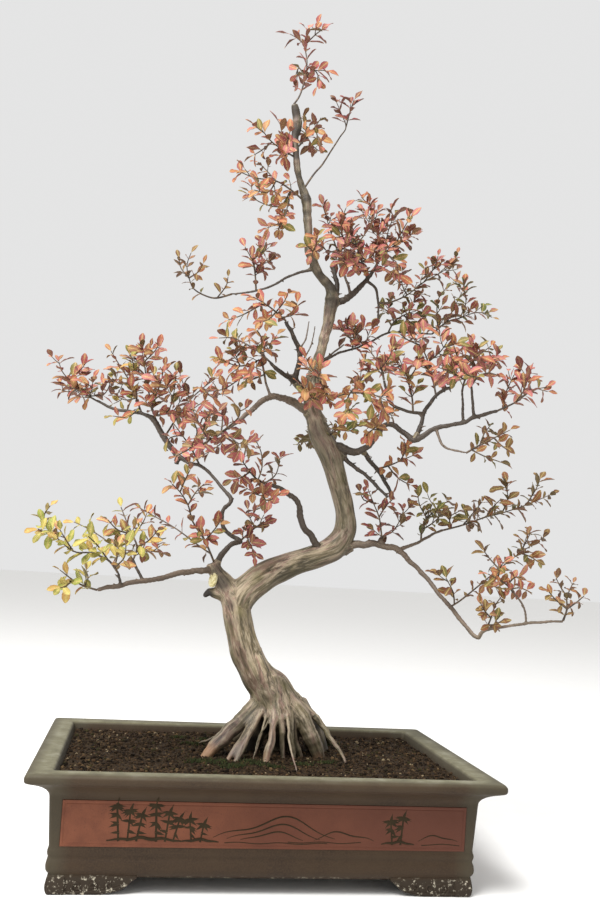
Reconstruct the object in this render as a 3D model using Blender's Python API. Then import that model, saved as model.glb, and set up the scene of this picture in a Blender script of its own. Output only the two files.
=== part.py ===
"""Crepe myrtle bonsai in a rectangular pot of two clays.

The pot stands on four corner feet, with its front towards -Y and +Z up. The pot holds a gravel layer
over two drainage screens, then soil, and the tree stands in the soil with its roots in plain holes.
The tree's wood is one piece. Each leafy spray is a piece of its own that begins at the bark.

Sizes are in millimetres and are turned to metres by MM. The tree's routes are drawn on its front
view: across and down are places in the 600 by 904 frame, and back is how far behind the middle of
the pot the point lies, in millimetres. seen_at turns such a point into a place in space.
"""

import math
import random

import bmesh
import bpy
import numpy as np
from mathutils import Matrix, Vector
from mathutils.bvhtree import BVHTree

MM = 0.001
WELD = 0.01
SEED = 20

# Pot, driving sizes
POT_WIDTH = 500
POT_DEPTH = 350
POT_HEIGHT = 122
FLOOR_TOP = 26
BODY_BOTTOM = 18
GAP = 0.35

# The wall's outside, from the bottom up: how far in from the rim, and the height
WALL_LOW = (27.5, 46)
WALL_HIGH = (24, 97)
POT_OUTSIDE = (
    (31, BODY_BOTTOM), (29, 21), (26, 27), (26, 33), (28.5, 37), (26, 42), WALL_LOW,
    WALL_HIGH, (22.5, 101), (18, 105), (10, 110), (3, 112), (0, 114), (0, 119.5), (2, POT_HEIGHT),
)
# The wall's inside, from the rim down to the floor
POT_INSIDE = ((25, POT_HEIGHT), (27, 120.5), (29, 112), (34, 98), (38, FLOOR_TOP))

# Inlaid panels
PANEL_BOTTOM = 47
PANEL_TOP = 94
PANEL_DEPTH = 3.4
PANEL_PROUD = 0.5
STILE = 12
WALL_INSET = (WALL_LOW[0] + WALL_HIGH[0]) / 2
WALL_LEAN = math.atan2(WALL_LOW[0] - WALL_HIGH[0], WALL_HIGH[1] - WALL_LOW[1])
# Each wall: name, turn about Z, half the wall's length between its corners and the rim's half depth there
PANEL_SIDES = (
    ("front", 0, POT_WIDTH / 2, POT_DEPTH / 2),
    ("back", math.pi, POT_WIDTH / 2, POT_DEPTH / 2),
    ("left", -math.pi / 2, POT_DEPTH / 2, POT_WIDTH / 2),
    ("right", math.pi / 2, POT_DEPTH / 2, POT_WIDTH / 2),
)

# Feet: the leg's outline seen from the front, from the outer corner inwards
FOOT_OUTLINE = (
    (0, 20), (-2, 13), (-3, 7), (-1.5, 1.5), (0.5, 0), (52, 0), (63, 2),
    (73, 4.5), (80, 9), (84, 13.5), (89, 16), (88, 20),
)
FOOT_INSET = 29
FOOT_THICKNESS = 17
SIDE_LEG_SCALE = 0.72

# Drainage
HOLE_RADIUS = 14
HOLE_SIDES = 16
HOLE_PLACES = (-105, 105)
SCREEN_SIDE = 46
SCREEN_THICKNESS = 1.2
SCREEN_SLOT = 16
SCREEN_PITCH = 20
GRAVEL_TOP = 40
GRAVEL_OUTSIDE = ((38.4, FLOOR_TOP + GAP), (37.6, GRAVEL_TOP))

# Soil: how far in from the rim, and the height, up the wall and over the low mound
SOIL_OUTSIDE = (
    (37.55, GRAVEL_TOP + GAP), (34.4, 98), (29.6, 112), (34, 112.6), (70, 114), (125, 115.5),
)

# The eye that sees the front view, at the pot's scale
EYE = Vector((-152.4, -1188.1, 341.3))
EYE_TURN = math.radians(8.83)
EYE_RISE = math.radians(6.63)
EYE_ROLL = math.radians(-3.33)
EYE_REACH = 973.5
FRAME_MIDDLE = (300, 452)

# Wood: name, sides, then (across, down, back, radius in mm). The first branch carries the others.
TRUNK = (
    "trunk", 10,
    (
        (280, 764, 12, 38), (281, 738, 11, 36), (282, 712, 9, 31), (271, 692, 8, 25.5),
        (258, 676, 6, 20.5), (248, 657, 3, 18.6), (241, 636, -1, 18), (237, 614, -5, 18),
        (234, 600, -7, 16.5), (226, 585, -9, 11.5), (216, 572, -11, 9), (212, 563, -12, 8),
    ),
)
BRANCHES = (
    (
        "upper trunk", 8,
        (
            (236, 607, -6, 17), (243, 594, -6, 19), (257, 582, -4, 18.6), (274, 571, 0, 16.5),
            (297, 562, 6, 14.8), (336, 546, 18, 15.4), (345, 531, 18, 13.8), (341, 493, 8, 12.6),
            (336, 474, 4, 13), (330, 455, 0, 14.6), (314, 417, -4, 12), (312.5, 380, -2, 9.6),
            (316, 365, 0, 7.2), (322, 347, 3, 6.4), (329, 314, 8, 8.6), (332, 299, 8, 9.6),
            (329, 285, 6, 6.4), (318, 271, 2, 6.1), (309, 251, -2, 6), (306, 200, -2, 6.6),
            (300, 179, 0, 4.3), (297, 160, 2, 4.8), (295, 142, 3, 5.2), (297, 128, 3, 6.8),
            (294, 104, 0, 4.6),
        ),
    ),
    (
        "level branch", 4,
        (
            (218, 570, -11, 5), (184, 572, -32, 3.8), (154, 579, -57, 3.4), (120, 585, -82, 3),
            (97, 590, -97, 2.4),
        ),
    ),
    (
        "level stub one", 4,
        (
            (121, 585, -82, 2), (118, 573, -88, 1.6),
        ),
    ),
    (
        "level stub two", 4,
        (
            (143, 581, -66, 2.4), (138, 570, -64, 2), (133, 560, -61, 1.7),
        ),
    ),
    (
        "zigzag", 6,
        (
            (214, 568, -11, 5), (223, 553, -8, 3.8), (240, 541, 0, 3.2), (225, 530, 4, 3),
            (223, 512, 8, 2.8), (231, 499, 12, 3), (222, 487, 21, 2.4), (200, 466, 39, 2.6),
            (178, 456, 61, 4), (165, 439, 68, 4.2), (155, 421, 72, 4), (142, 414, 79, 2.8),
            (116, 409, 90, 2.4), (97, 401, 97, 1.9),
        ),
    ),
    (
        "low stub", 4,
        (
            (179, 455, 61, 4), (176, 464, 57, 3.4),
        ),
    ),
    (
        "arch", 6,
        (
            (312, 416, -4, 6.5), (303, 409, -8, 6), (293, 402, -14, 5.6), (283, 398, -25, 4.6),
            (272, 397, -36, 4.3), (262, 402, -46, 3.8), (247, 414, -64, 3.2), (228, 428, -86, 2.4),
        ),
    ),
    (
        "arch twig", 4,
        (
            (270, 398, -37, 2.2), (266, 384, -32, 1.8),
        ),
    ),
    (
        "inner riser", 6,
        (
            (324, 553, 12, 7), (316, 543, 4, 5.2), (306, 530, -4, 4.5), (300, 518, -8, 4.6),
            (298, 504, -13, 4), (285, 491, -25, 3.3), (270, 485, -36, 2.6),
        ),
    ),
    (
        "upper right", 6,
        (
            (331, 304, 8, 6), (348, 298, 12, 4.6), (357, 289, 14, 4), (366, 281, 18, 3.2),
            (377, 264, 21, 2.2),
        ),
    ),
    (
        "right hanger", 4,
        (
            (366, 281, 18, 2.4), (375, 288, 16, 2.1), (378, 300, 14, 1.9), (378, 314, 12, 1.6),
            (377, 326, 10, 1.3),
        ),
    ),
    (
        "dark prong", 4,
        (
            (333, 302, 9, 5), (337, 287, 18, 3.8), (334, 273, 32, 3.2), (331, 266, 39, 2.4),
        ),
    ),
    (
        "right riser", 4,
        (
            (351, 295, 13, 2.4), (346, 280, 28, 2.1), (340, 266, 39, 1.8),
        ),
    ),
    (
        "long left", 4,
        (
            (316, 268, 2, 3), (301, 272, 8, 2), (290, 276, 12, 1.9), (267, 288, 25, 1.7),
            (249, 292, 36, 1.6), (232, 294, 43, 1.4),
        ),
    ),
    (
        "right limb", 6,
        (
            (327, 447, -1, 9), (339, 447, -6, 6.4), (353, 452, -14, 5.2), (378, 434, -39, 3.8),
            (388, 424, -50, 3.7), (402, 431, -64, 3.7), (415, 440, -75, 4), (434, 429, -86, 3.4),
            (463, 423, -97, 2.9), (497, 411, -108, 2.3),
        ),
    ),
    (
        "right limb stub", 6,
        (
            (415, 440, -75, 3.6), (422, 420, -68, 2.8), (426, 409, -64, 2.7), (437, 395, -57, 2.6),
            (453, 386, -46, 2.2),
        ),
    ),
    (
        "right limb hook", 4,
        (
            (424, 414, -66, 2.4), (411, 412, -72, 2.3), (398, 408, -79, 2.3), (389, 400, -84, 2.2),
            (384, 380, -86, 1.6),
        ),
    ),
    (
        "right upright one", 4,
        (
            (463, 423, -97, 2.2), (463, 407, -93, 1.9), (462, 392, -90, 1.5),
        ),
    ),
    (
        "right upright two", 4,
        (
            (474, 417, -100, 2.4), (473, 402, -108, 2), (471, 386, -111, 1.6),
        ),
    ),
    (
        "right low curve", 4,
        (
            (436, 429, -86, 2.2), (442, 444, -100, 1.8), (452, 450, -111, 1.6), (466, 453, -118, 1.3),
        ),
    ),
    (
        "dead pair one", 4,
        (
            (341, 453, -4, 4), (352, 465, -10, 2.9), (366, 476, -18, 2.6), (388, 497, -36, 2),
        ),
    ),
    (
        "dead pair two", 4,
        (
            (361, 449, -21, 4), (371, 462, -8, 3.1), (380, 473, -3, 3), (394, 499, 6, 2.2),
        ),
    ),
    (
        "right pair", 4,
        (
            (320, 365, 1, 3.2), (336, 354, 14, 1.9), (350, 350, 32, 1.8), (367, 344, 46, 1.8),
            (388, 333, 61, 1.7), (412, 333, 64, 1.6), (432, 334, 68, 1.5),
        ),
    ),
    (
        "right pair short", 4,
        (
            (323, 361, 3, 2.4), (333, 353, 4, 1.6), (344, 344, 6, 1.2),
        ),
    ),
    (
        "old stub", 6,
        (
            (310, 395, -5, 5.4), (300, 385, -13, 4.4), (295, 377, -21, 4), (299, 362, -25, 3.8),
            (298, 347, -28, 3.5), (286, 321, -36, 2.5),
        ),
    ),
    (
        "mossy stub", 6,
        (
            (299, 386, -12, 4.4), (290, 379, -25, 3.6), (281, 373, -36, 3.2), (270, 362, -46, 2.2),
        ),
    ),
    (
        "fine twig one", 4,
        (
            (298, 352, -28, 1.6), (306, 338, -18, 1.3), (309, 321, -14, 1),
        ),
    ),
    (
        "fine twig two", 4,
        (
            (301, 364, -23, 1.5), (311, 345, -12, 1.2), (315, 326, -10, 1),
        ),
    ),
    (
        "low limb", 6,
        (
            (345, 547, 18, 8.6), (360, 545, 13, 5.4), (374, 543, 9, 4.8), (386, 546, 5, 4.6),
            (398, 551, 0, 4.2), (420, 571, -14, 3.2), (446, 602, -46, 2.9), (475, 637, -82, 2.7),
            (486, 630, -91, 2.4), (525, 624, -111, 2), (563, 621, -133, 1.6),
        ),
    ),
    (
        "low limb twig", 4,
        (
            (526, 624, -111, 1.8), (524, 608, -106, 1.5), (513, 592, -100, 1.3),
        ),
    ),
    (
        "low limb upper", 4,
        (
            (396, 551, 0, 3.2), (418, 542, 10, 2.2), (436, 533, 21, 1.9), (444, 530, 27, 1.6),
        ),
    ),
    (
        "knob", 4,
        (
            (379, 545, 7, 4), (382, 540, 6, 3.4),
        ),
    ),
    (
        "side knob", 6,
        (
            (232, 597, -7, 9), (216, 594, -9, 6.5), (208, 593, -10, 5),
        ),
    ),
)
ROOTS = (
    (
        "left thick root", 8,
        (
            (262, 704, 4, 12), (245, 716, -4, 11), (233, 727, -12, 9.6), (220, 740, -19, 7.6),
            (209, 751, -25, 5.6), (202, 759, -28, 4.4),
        ),
    ),
    (
        "left side root", 4,
        (
            (224, 735, -16, 4), (212, 739, 14, 2.2), (203, 742, 36, 1.7), (196, 745, 56, 1.3),
        ),
    ),
    (
        "root three", 4,
        (
            (254, 712, -4, 8), (246, 730, -22, 4.2), (238, 745, -36, 3.4), (226, 763, -47, 2.4),
        ),
    ),
    (
        "root four", 4,
        (
            (259, 716, -8, 7), (248, 735, -30, 3.6), (241, 749, -42, 3), (234, 764, -52, 2.3),
        ),
    ),
    (
        "thin root", 4,
        (
            (266, 716, -12, 4), (259, 738, -21, 1.9), (253, 759, -22, 1.4),
        ),
    ),
    (
        "yellow root", 4,
        (
            (270, 712, -12, 9), (276, 730, -28, 4.4), (271, 746, -38, 3.9), (266, 763, -42, 2.8),
        ),
    ),
    (
        "middle root", 4,
        (
            (280, 714, -14, 7), (282, 735, -22, 3.1), (284, 759, -16, 2.4),
        ),
    ),
    (
        "long root", 4,
        (
            (288, 720, -16, 4), (290, 745, -58, 2.1), (294, 760, -78, 1.7), (300, 773, -92, 1.3),
        ),
    ),
    (
        "right root", 6,
        (
            (290, 706, -6, 13), (296, 728, -15, 6.8), (300, 743, -14, 6), (310, 758, -6, 4.4),
        ),
    ),
    (
        "thick right root", 8,
        (
            (296, 700, 0, 14), (306, 722, -8, 9.4), (313, 740, -12, 8), (319, 759, -11, 5.6),
        ),
    ),
    (
        "outer right root", 6,
        (
            (300, 700, 6, 13), (315, 714, 14, 7), (324, 727, 28, 5), (331, 742, 66, 3),
        ),
    ),
    (
        "outer thin root", 4,
        (
            (318, 718, 14, 4), (330, 741, -8, 2.6), (339, 753, -30, 2.2), (348, 767, -54, 1.6),
        ),
    ),
    (
        "back root one", 6,
        (
            (284, 712, 24, 14), (276, 724, 56, 7.4), (268, 736, 96, 4.4), (262, 737, 118, 2.8),
        ),
    ),
    (
        "back root two", 6,
        (
            (294, 708, 24, 12), (300, 722, 60, 6.6), (306, 736, 104, 3.8), (310, 738, 126, 2.6),
        ),
    ),
    (
        "back root three", 4,
        (
            (272, 706, 20, 12), (254, 724, 46, 7), (238, 738, 76, 4.4), (228, 742, 92, 3),
        ),
    ),
)
# How far a root dives into the soil, how steeply, and the play round it in its hole
ROOT_DIVE = 9
ROOT_SLOPE = -0.9
ROOT_TAPER = 0.75
ROOT_PLAY = 0.5

# Stems and leaves: stem radii, then a leaf's size, how far its tip bends down as a share of its length,
# and where it is widest
STEM_START = 1.3
FORK_START = 1.0
STEM_END = 0.8
FORK_SETBACK = 0.4
START_STEP = 0.1
NODE_LENGTH = 1.8
NODE_REACH = 1.6
LEAFY_NODES = 4
LEAF_LENGTH = 25
LEAF_WIDTH = 11.5
LEAF_THICKNESS = 0.8
LEAF_BEND = 0.13
LEAF_WIDEST = 0.45
LEAF_SIZES = (0.86, 1.14)
LEAF_CLEARANCE = 1
REACH_START = 0.15
PAIR_LEAN = (38, 66)
TIP_LEAN = (0, 25)
LEAF_SWAY = 0.3
LEAF_FACING = Vector((0, -0.4, 0.6))
PAIR_FACING = 0.8
LEAF_TRIES = 16

# Sprays: name, leaf colour, the stem's points and, for each fork, the stem point that it leaves from and
# its own points. Each point is (across, down, back).
SPRAYS = (
    (
        "apex", "rose",
        (
            (294, 104, 0), (300, 95, 0), (305, 78, -2), (307, 62, -4), (305, 45, -2), (308, 29, 0),
        ),
        (
            (4, (297, 38, 8), (290, 34, 12)),
        ),
    ),
    (
        "apex_right", "wine",
        (
            (303, 190, -1), (314, 174, 8), (322, 165, 14), (331, 151, 21), (340, 137, 28),
            (346, 127, 32), (341, 113, 36), (336, 101, 37),
        ),
        (
            (5, (350, 112, 21), (354, 100, 14)),
        ),
    ),
    (
        "crown_left", "rose",
        (
            (296, 158, 3), (285, 151, 0), (272, 142, -2), (262, 130, -4),
        ),
        (
            (1, (287, 143, -36), (290, 132, -57)),
        ),
    ),
    (
        "crown_right", "amber",
        (
            (298, 147, 3), (307, 137, 8), (315, 127, 12), (321, 118, 18),
        ),
        (
            (1, (313, 146, 28), (319, 151, 46)),
        ),
    ),
    (
        "left_high", "amber",
        (
            (303, 200, -2), (291, 190, -6), (276, 181, -8), (256, 178, -10), (240, 172, -10),
        ),
        (
            (1, (280, 206, 4), (262, 203, 10), (248, 194, 12)),
        ),
    ),
    (
        "left_up", "rose",
        (
            (256, 290, 32), (255, 273, 32), (252, 260, 32), (245, 247, 32),
        ),
        (
            (2, (262, 252, 14), (266, 242, 8)),
        ),
    ),
    (
        "left_tip", "bronze",
        (
            (232, 294, 43), (217, 298, 50), (206, 296, 54), (194, 289, 57), (189, 278, 57),
            (187, 265, 54), (191, 253, 50),
        ),
        (
            (1, (226, 286, 32), (228, 277, 25)),
        ),
    ),
    (
        "trunk_front", "amber",
        (
            (309, 257, -3), (313, 252, -25), (306, 245, -46),
        ),
        (
            (1, (316, 244, -43), (317, 236, -57)),
        ),
    ),
    (
        "right_high_back", "rose",
        (
            (340, 266, 39), (337, 250, 46), (331, 233, 50), (326, 216, 50),
        ),
        (
            (1, (346, 246, 75), (348, 226, 93)),
            (1, (328, 252, 68), (322, 244, 86)),
        ),
    ),
    (
        "right_high_front", "rose",
        (
            (367, 279, 18), (362, 262, 10), (356, 245, 4), (352, 225, 0),
        ),
        (
            (1, (372, 256, -14), (378, 242, -36)),
            (2, (344, 238, -14), (338, 228, -28)),
        ),
    ),
    (
        "right_high_tip", "rose",
        (
            (377, 264, 21), (385, 254, 25), (395, 245, 28), (405, 240, 28), (413, 233, 28),
        ),
        (
            (0, (379, 243, 36), (374, 222, 39), (369, 202, 39)),
            (1, (388, 232, 50), (395, 214, 57)),
        ),
    ),
    (
        "brown_shoot", "bronze",
        (
            (378, 303, 14), (391, 302, 14), (407, 295, 18), (424, 282, 21), (440, 273, 25),
            (456, 262, 28),
        ),
        (
            (3, (434, 268, 8), (438, 256, 2)),
        ),
    ),
    (
        "green_end", "olive",
        (
            (432, 334, 68), (447, 322, 72), (460, 318, 75), (474, 313, 79), (488, 313, 79),
        ),
        (
            (0, (437, 316, 64), (438, 300, 57), (446, 288, 54)),
            (1, (456, 304, 93), (462, 292, 104)),
        ),
    ),
    (
        "olive_middle", "olive",
        (
            (388, 333, 61), (394, 322, 50), (404, 315, 39), (416, 311, 32),
        ),
        (
            (2, (410, 322, 18), (420, 326, 10)),
        ),
    ),
    (
        "inner_red", "rose",
        (
            (352, 350, 34), (354, 341, 18), (358, 330, 10),
        ),
        (
            (1, (347, 336, 32), (343, 330, 46)),
        ),
    ),
    (
        "pink_middle", "rose",
        (
            (436, 396, -57), (433, 380, -50), (428, 362, -43), (422, 346, -36), (418, 331, -28),
        ),
        (
            (2, (440, 352, -64), (447, 342, -79)),
            (1, (444, 372, -28), (452, 364, -14)),
        ),
    ),
    (
        "pink_inner", "rose",
        (
            (413, 412, -70), (412, 397, -64), (408, 380, -57), (402, 365, -50), (396, 351, -43),
        ),
        (
            (2, (416, 368, -82), (420, 356, -97)),
        ),
    ),
    (
        "pink_left", "rose",
        (
            (384, 380, -86), (381, 368, -86), (375, 358, -82), (369, 350, -79),
        ),
        (
            (1, (389, 358, -100), (392, 348, -108)),
        ),
    ),
    (
        "rose_back", "amber",
        (
            (453, 386, -46), (464, 371, -39), (476, 358, -32), (483, 352, -25), (491, 346, -18),
        ),
        (
            (1, (470, 356, -12), (471, 343, -4)),
            (0, (452, 368, -36), (446, 354, -25)),
        ),
    ),
    (
        "rose_upright", "rose",
        (
            (462, 392, -90), (465, 380, -93), (473, 370, -100), (485, 362, -108), (499, 359, -115),
        ),
        (
            (1, (455, 374, -108), (447, 370, -118)),
        ),
    ),
    (
        "rose_upright_two", "rose",
        (
            (471, 386, -111), (478, 377, -122), (488, 373, -133), (500, 376, -144),
        ),
        (
            (1, (470, 376, -140), (462, 372, -154)),
        ),
    ),
    (
        "rose_right", "rose",
        (
            (497, 411, -108), (516, 402, -115), (531, 391, -118), (547, 387, -122),
        ),
        (
            (0, (505, 395, -100), (514, 375, -93)),
        ),
    ),
    (
        "amber_front", "amber",
        (
            (314, 406, -4), (330, 399, -36), (350, 393, -61), (370, 394, -86), (385, 400, -108),
        ),
        (
            (0, (311, 396, -54), (305, 387, -75)),
            (1, (324, 388, -64), (316, 376, -82), (306, 358, -86)),
        ),
    ),
    (
        "sparse_olive", "olive",
        (
            (324, 440, -4), (338, 428, -21), (344, 417, -32), (352, 408, -43),
        ),
        (
            (1, (349, 431, -57), (357, 426, -75)),
        ),
    ),
    (
        "middle_orange", "amber",
        (
            (379, 433, -39), (376, 424, -25), (369, 416, -12),
        ),
        (
            (1, (385, 416, -10), (394, 412, -2)),
        ),
    ),
    (
        "low_orange", "amber",
        (
            (376, 469, -5), (388, 466, -18), (400, 461, -28), (414, 455, -36),
        ),
        (
            (1, (398, 478, -14), (410, 485, -12)),
        ),
    ),
    (
        "low_curve", "bronze",
        (
            (466, 453, -118), (480, 445, -122), (494, 438, -126), (510, 430, -129),
        ),
        (
            (0, (484, 456, -133), (503, 463, -140)),
        ),
    ),
    (
        "old_stub_top", "amber",
        (
            (286, 321, -36), (276, 312, -39), (264, 303, -43), (253, 297, -46),
        ),
        (
            (1, (284, 302, -61), (288, 293, -75)),
            (2, (252, 310, -21), (240, 316, -8), (228, 320, 0)),
        ),
    ),
    (
        "left_yellow", "amber",
        (
            (270, 362, -46), (259, 352, -43), (246, 344, -36), (233, 338, -28), (219, 338, -21),
        ),
        (
            (1, (262, 340, -68), (257, 330, -82)),
            (2, (240, 350, -4), (234, 344, 10)),
        ),
    ),
    (
        "arch_up", "amber",
        (
            (266, 384, -32), (261, 361, -25), (252, 364, -18), (240, 366, -12), (228, 363, -8),
            (218, 359, -6),
        ),
        (
            (0, (250, 380, -8), (242, 378, 0), (226, 388, 10), (213, 391, 18), (202, 388, 25)),
            (2, (250, 374, -50), (240, 378, -68)),
        ),
    ),
    (
        "red_crest", "rose",
        (
            (157, 424, 72), (151, 403, 68), (147, 382, 64), (144, 362, 61), (141, 345, 57),
        ),
        (
            (1, (159, 388, 39), (163, 372, 25)),
            (2, (138, 370, 86), (133, 356, 97)),
            (0, (168, 411, 54), (174, 392, 39), (176, 372, 32)),
        ),
    ),
    (
        "red_left", "amber",
        (
            (142, 414, 79), (136, 398, 86), (130, 382, 93), (120, 366, 100), (111, 351, 104),
        ),
        (
            (1, (126, 400, 108), (116, 396, 122)),
            (2, (120, 384, 118), (112, 378, 133)),
        ),
    ),
    (
        "red_right", "rose",
        (
            (164, 438, 68), (178, 416, 79), (190, 400, 86), (203, 388, 93), (216, 378, 97),
        ),
        (
            (2, (184, 386, 108), (180, 374, 122)),
            (1, (188, 412, 50), (200, 404, 36)),
        ),
    ),
    (
        "pink_far_left", "rose",
        (
            (97, 401, 97), (77, 389, 100), (69, 380, 102), (62, 371, 104), (59, 362, 104),
        ),
        (
            (0, (92, 388, 82), (84, 382, 72)),
        ),
    ),
    (
        "pink_fork", "rose",
        (
            (200, 466, 39), (191, 448, 28), (182, 435, 18), (174, 424, 12),
        ),
        (
            (1, (197, 432, 6), (192, 418, 0)),
        ),
    ),
    (
        "arch_tip", "wine",
        (
            (228, 428, -86), (211, 439, -97), (203, 431, -104), (197, 419, -108), (193, 410, -108),
        ),
        (
            (0, (222, 415, -68), (212, 411, -57)),
            (0, (222, 442, -72), (212, 450, -61), (203, 455, -54)),
            (0, (234, 440, -108), (241, 450, -122)),
        ),
    ),
    (
        "inner_left", "wine",
        (
            (270, 485, -36), (258, 480, -43), (250, 472, -48), (243, 462, -54), (236, 452, -61),
        ),
        (
            (1, (262, 467, -32), (261, 452, -25), (256, 441, -21)),
            (0, (263, 495, -57), (252, 493, -72)),
        ),
    ),
    (
        "back_faint", "olive",
        (
            (321, 436, -2), (313, 440, 50), (304, 439, 82), (297, 445, 108),
        ),
        (
            (1, (316, 428, 97), (314, 418, 126)),
        ),
    ),
    (
        "purple", "wine",
        (
            (240, 541, 0), (247, 535, -10), (255, 528, -18), (264, 521, -25),
        ),
        (
            (1, (250, 544, -36), (256, 546, -50)),
        ),
    ),
    (
        "left_orange", "amber",
        (
            (214, 562, -12), (205, 541, -25), (193, 522, -36), (188, 505, -43), (180, 492, -50),
            (172, 484, -57),
        ),
        (
            (3, (196, 492, -28), (204, 484, -18)),
            (1, (202, 534, -54), (198, 528, -68)),
        ),
    ),
    (
        "lime_far", "lime",
        (
            (118, 573, -88), (108, 560, -93), (90, 553, -97), (73, 551, -100), (47, 531, -108),
            (35, 519, -111),
        ),
        (
            (4, (44, 517, -93), (50, 506, -82)),
            (0, (116, 550, -68), (94, 532, -57), (74, 522, -50)),
        ),
    ),
    (
        "lime_middle", "lime",
        (
            (133, 560, -61), (137, 547, -50), (132, 534, -39), (126, 520, -28), (121, 507, -21),
        ),
        (
            (1, (148, 541, -75), (158, 530, -90)),
            (2, (142, 524, -14), (147, 513, -6)),
        ),
    ),
    (
        "lime_low", "lime",
        (
            (97, 590, -97), (84, 586, -100), (73, 580, -104), (60, 570, -108),
        ),
        (
            (1, (88, 578, -82), (86, 571, -72)),
        ),
    ),
    (
        "knob_fan", "wine",
        (
            (382, 541, 6), (381, 530, 2), (379, 517, -2), (373, 502, -6), (368, 489, -8),
        ),
        (
            (0, (392, 532, 14), (399, 522, 25), (404, 509, 32)),
        ),
    ),
    (
        "low_green", "olive",
        (
            (421, 541, 11), (422, 530, 6), (427, 518, 0), (433, 502, -4),
        ),
        (
            (2, (438, 508, 10), (448, 501, 21)),
        ),
    ),
    (
        "right_shoot", "bronze",
        (
            (444, 530, 27), (463, 525, 43), (486, 517, 57), (502, 513, 68), (526, 505, 75),
            (552, 494, 75),
        ),
        (
            (0, (450, 517, 12), (462, 510, 6)),
            (3, (508, 498, 57), (505, 486, 50)),
        ),
    ),
    (
        "low_upper_shoot", "bronze",
        (
            (450, 607, -50), (461, 600, -54), (482, 583, -57), (499, 569, -61), (520, 553, -61),
            (544, 537, -61),
        ),
        (
            (0, (453, 592, -64), (446, 578, -72)),
            (3, (490, 559, -46), (484, 551, -39)),
        ),
    ),
    (
        "low_amber", "amber",
        (
            (513, 592, -100), (507, 585, -104), (498, 579, -108), (488, 574, -111),
        ),
        (
            (1, (516, 577, -126), (526, 580, -140)),
        ),
    ),
    (
        "low_olive", "bronze",
        (
            (486, 630, -91), (491, 618, -82), (495, 606, -72), (501, 597, -64),
        ),
        (
            (1, (484, 610, -100), (480, 602, -108)),
        ),
    ),
    (
        "low_end", "bronze",
        (
            (563, 621, -133), (567, 609, -133), (567, 597, -129), (573, 583, -126),
        ),
        (
            (1, (556, 600, -140), (549, 592, -146)),
        ),
    ),
)

COLOURS = {
    "rose": "B5585A",
    "wine": "8A3B3F",
    "amber": "C4743C",
    "bronze": "7D5A36",
    "olive": "7C7A3C",
    "lime": "B0A84A",
}


def clear_scene():
    for thing in list(bpy.data.objects):
        bpy.data.objects.remove(thing, do_unlink=True)


def new_collection(name):
    collection = bpy.data.collections.new(name)
    bpy.context.scene.collection.children.link(collection)
    return collection


def material(name, colour, roughness):
    """A plain finish from an sRGB hex colour."""
    finish = bpy.data.materials.new(name)
    finish.use_nodes = True
    shader = finish.node_tree.nodes["Principled BSDF"]
    linear = [(int(colour[i : i + 2], 16) / 255) ** 2.2 for i in (0, 2, 4)]
    shader.inputs["Base Color"].default_value = (*linear, 1)
    shader.inputs["Roughness"].default_value = roughness
    shader.inputs["Metallic"].default_value = 0
    return finish


def object_of(name, bm, collection):
    mesh = bpy.data.meshes.new(name)
    bm.to_mesh(mesh)
    bm.free()
    thing = bpy.data.objects.new(name, mesh)
    collection.objects.link(thing)
    return thing


def box(name, size, place, collection):
    bm = bmesh.new()
    bmesh.ops.create_cube(bm, size=1)
    bmesh.ops.scale(bm, vec=Vector(size) * MM, verts=bm.verts)
    thing = object_of(name, bm, collection)
    thing.location = Vector(place) * MM
    return thing


def rectangle_loft(name, sections, collection):
    """A closed loft through level rectangles, each given as its inset from the pot's rim and its height."""
    bm = bmesh.new()
    rings = []
    for inset, height in sections:
        half_x = (POT_WIDTH / 2 - inset) * MM
        half_y = (POT_DEPTH / 2 - inset) * MM
        corners = ((-half_x, -half_y), (half_x, -half_y), (half_x, half_y), (-half_x, half_y))
        rings.append([bm.verts.new((x, y, height * MM)) for x, y in corners])
    for lower, upper in zip(rings, rings[1:]):
        for i in range(4):
            j = (i + 1) % 4
            bm.faces.new((lower[i], lower[j], upper[j], upper[i]))
    bm.faces.new(reversed(rings[0]))
    bm.faces.new(rings[-1])
    return object_of(name, bm, collection)


def mesh_from_curve(thing):
    """A mesh object in the curve's place, with its end caps welded, and the curve removed."""
    bpy.context.view_layer.update()
    graph = bpy.context.evaluated_depsgraph_get()
    mesh = bpy.data.meshes.new_from_object(thing.evaluated_get(graph))
    bm = bmesh.new()
    bm.from_mesh(mesh)
    bmesh.ops.remove_doubles(bm, verts=bm.verts, dist=WELD * MM)
    bmesh.ops.transform(bm, matrix=thing.matrix_world, verts=bm.verts)
    name, collection = thing.name, thing.users_collection[0]
    bpy.data.objects.remove(thing, do_unlink=True)
    return object_of(name, bm, collection)


def tube(name, sides, points, collection):
    """A branch: a closed tube through points in metres, each with its own radius in millimetres."""
    curve = bpy.data.curves.new(name, "CURVE")
    curve.dimensions = "3D"
    curve.bevel_depth = MM
    curve.bevel_resolution = sides // 2 - 2
    curve.use_fill_caps = True
    spline = curve.splines.new("POLY")
    spline.points.add(len(points) - 1)
    for knot, (place, radius) in zip(spline.points, points):
        knot.co = (*place, 1)
        knot.radius = radius
    thing = bpy.data.objects.new(name, curve)
    collection.objects.link(thing)
    return mesh_from_curve(thing)


def flat_piece(name, outline, thickness, collection):
    """A flat outline in X and Z, thickened along Y."""
    curve = bpy.data.curves.new(name, "CURVE")
    curve.dimensions = "2D"
    curve.fill_mode = "BOTH"
    curve.extrude = thickness / 2 * MM
    spline = curve.splines.new("POLY")
    spline.points.add(len(outline) - 1)
    for knot, (x, z) in zip(spline.points, outline):
        knot.co = (x * MM, z * MM, 0, 1)
    spline.use_cyclic_u = True
    thing = bpy.data.objects.new(name, curve)
    thing.rotation_euler = (math.pi / 2, 0, 0)
    collection.objects.link(thing)
    return mesh_from_curve(thing)


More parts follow.
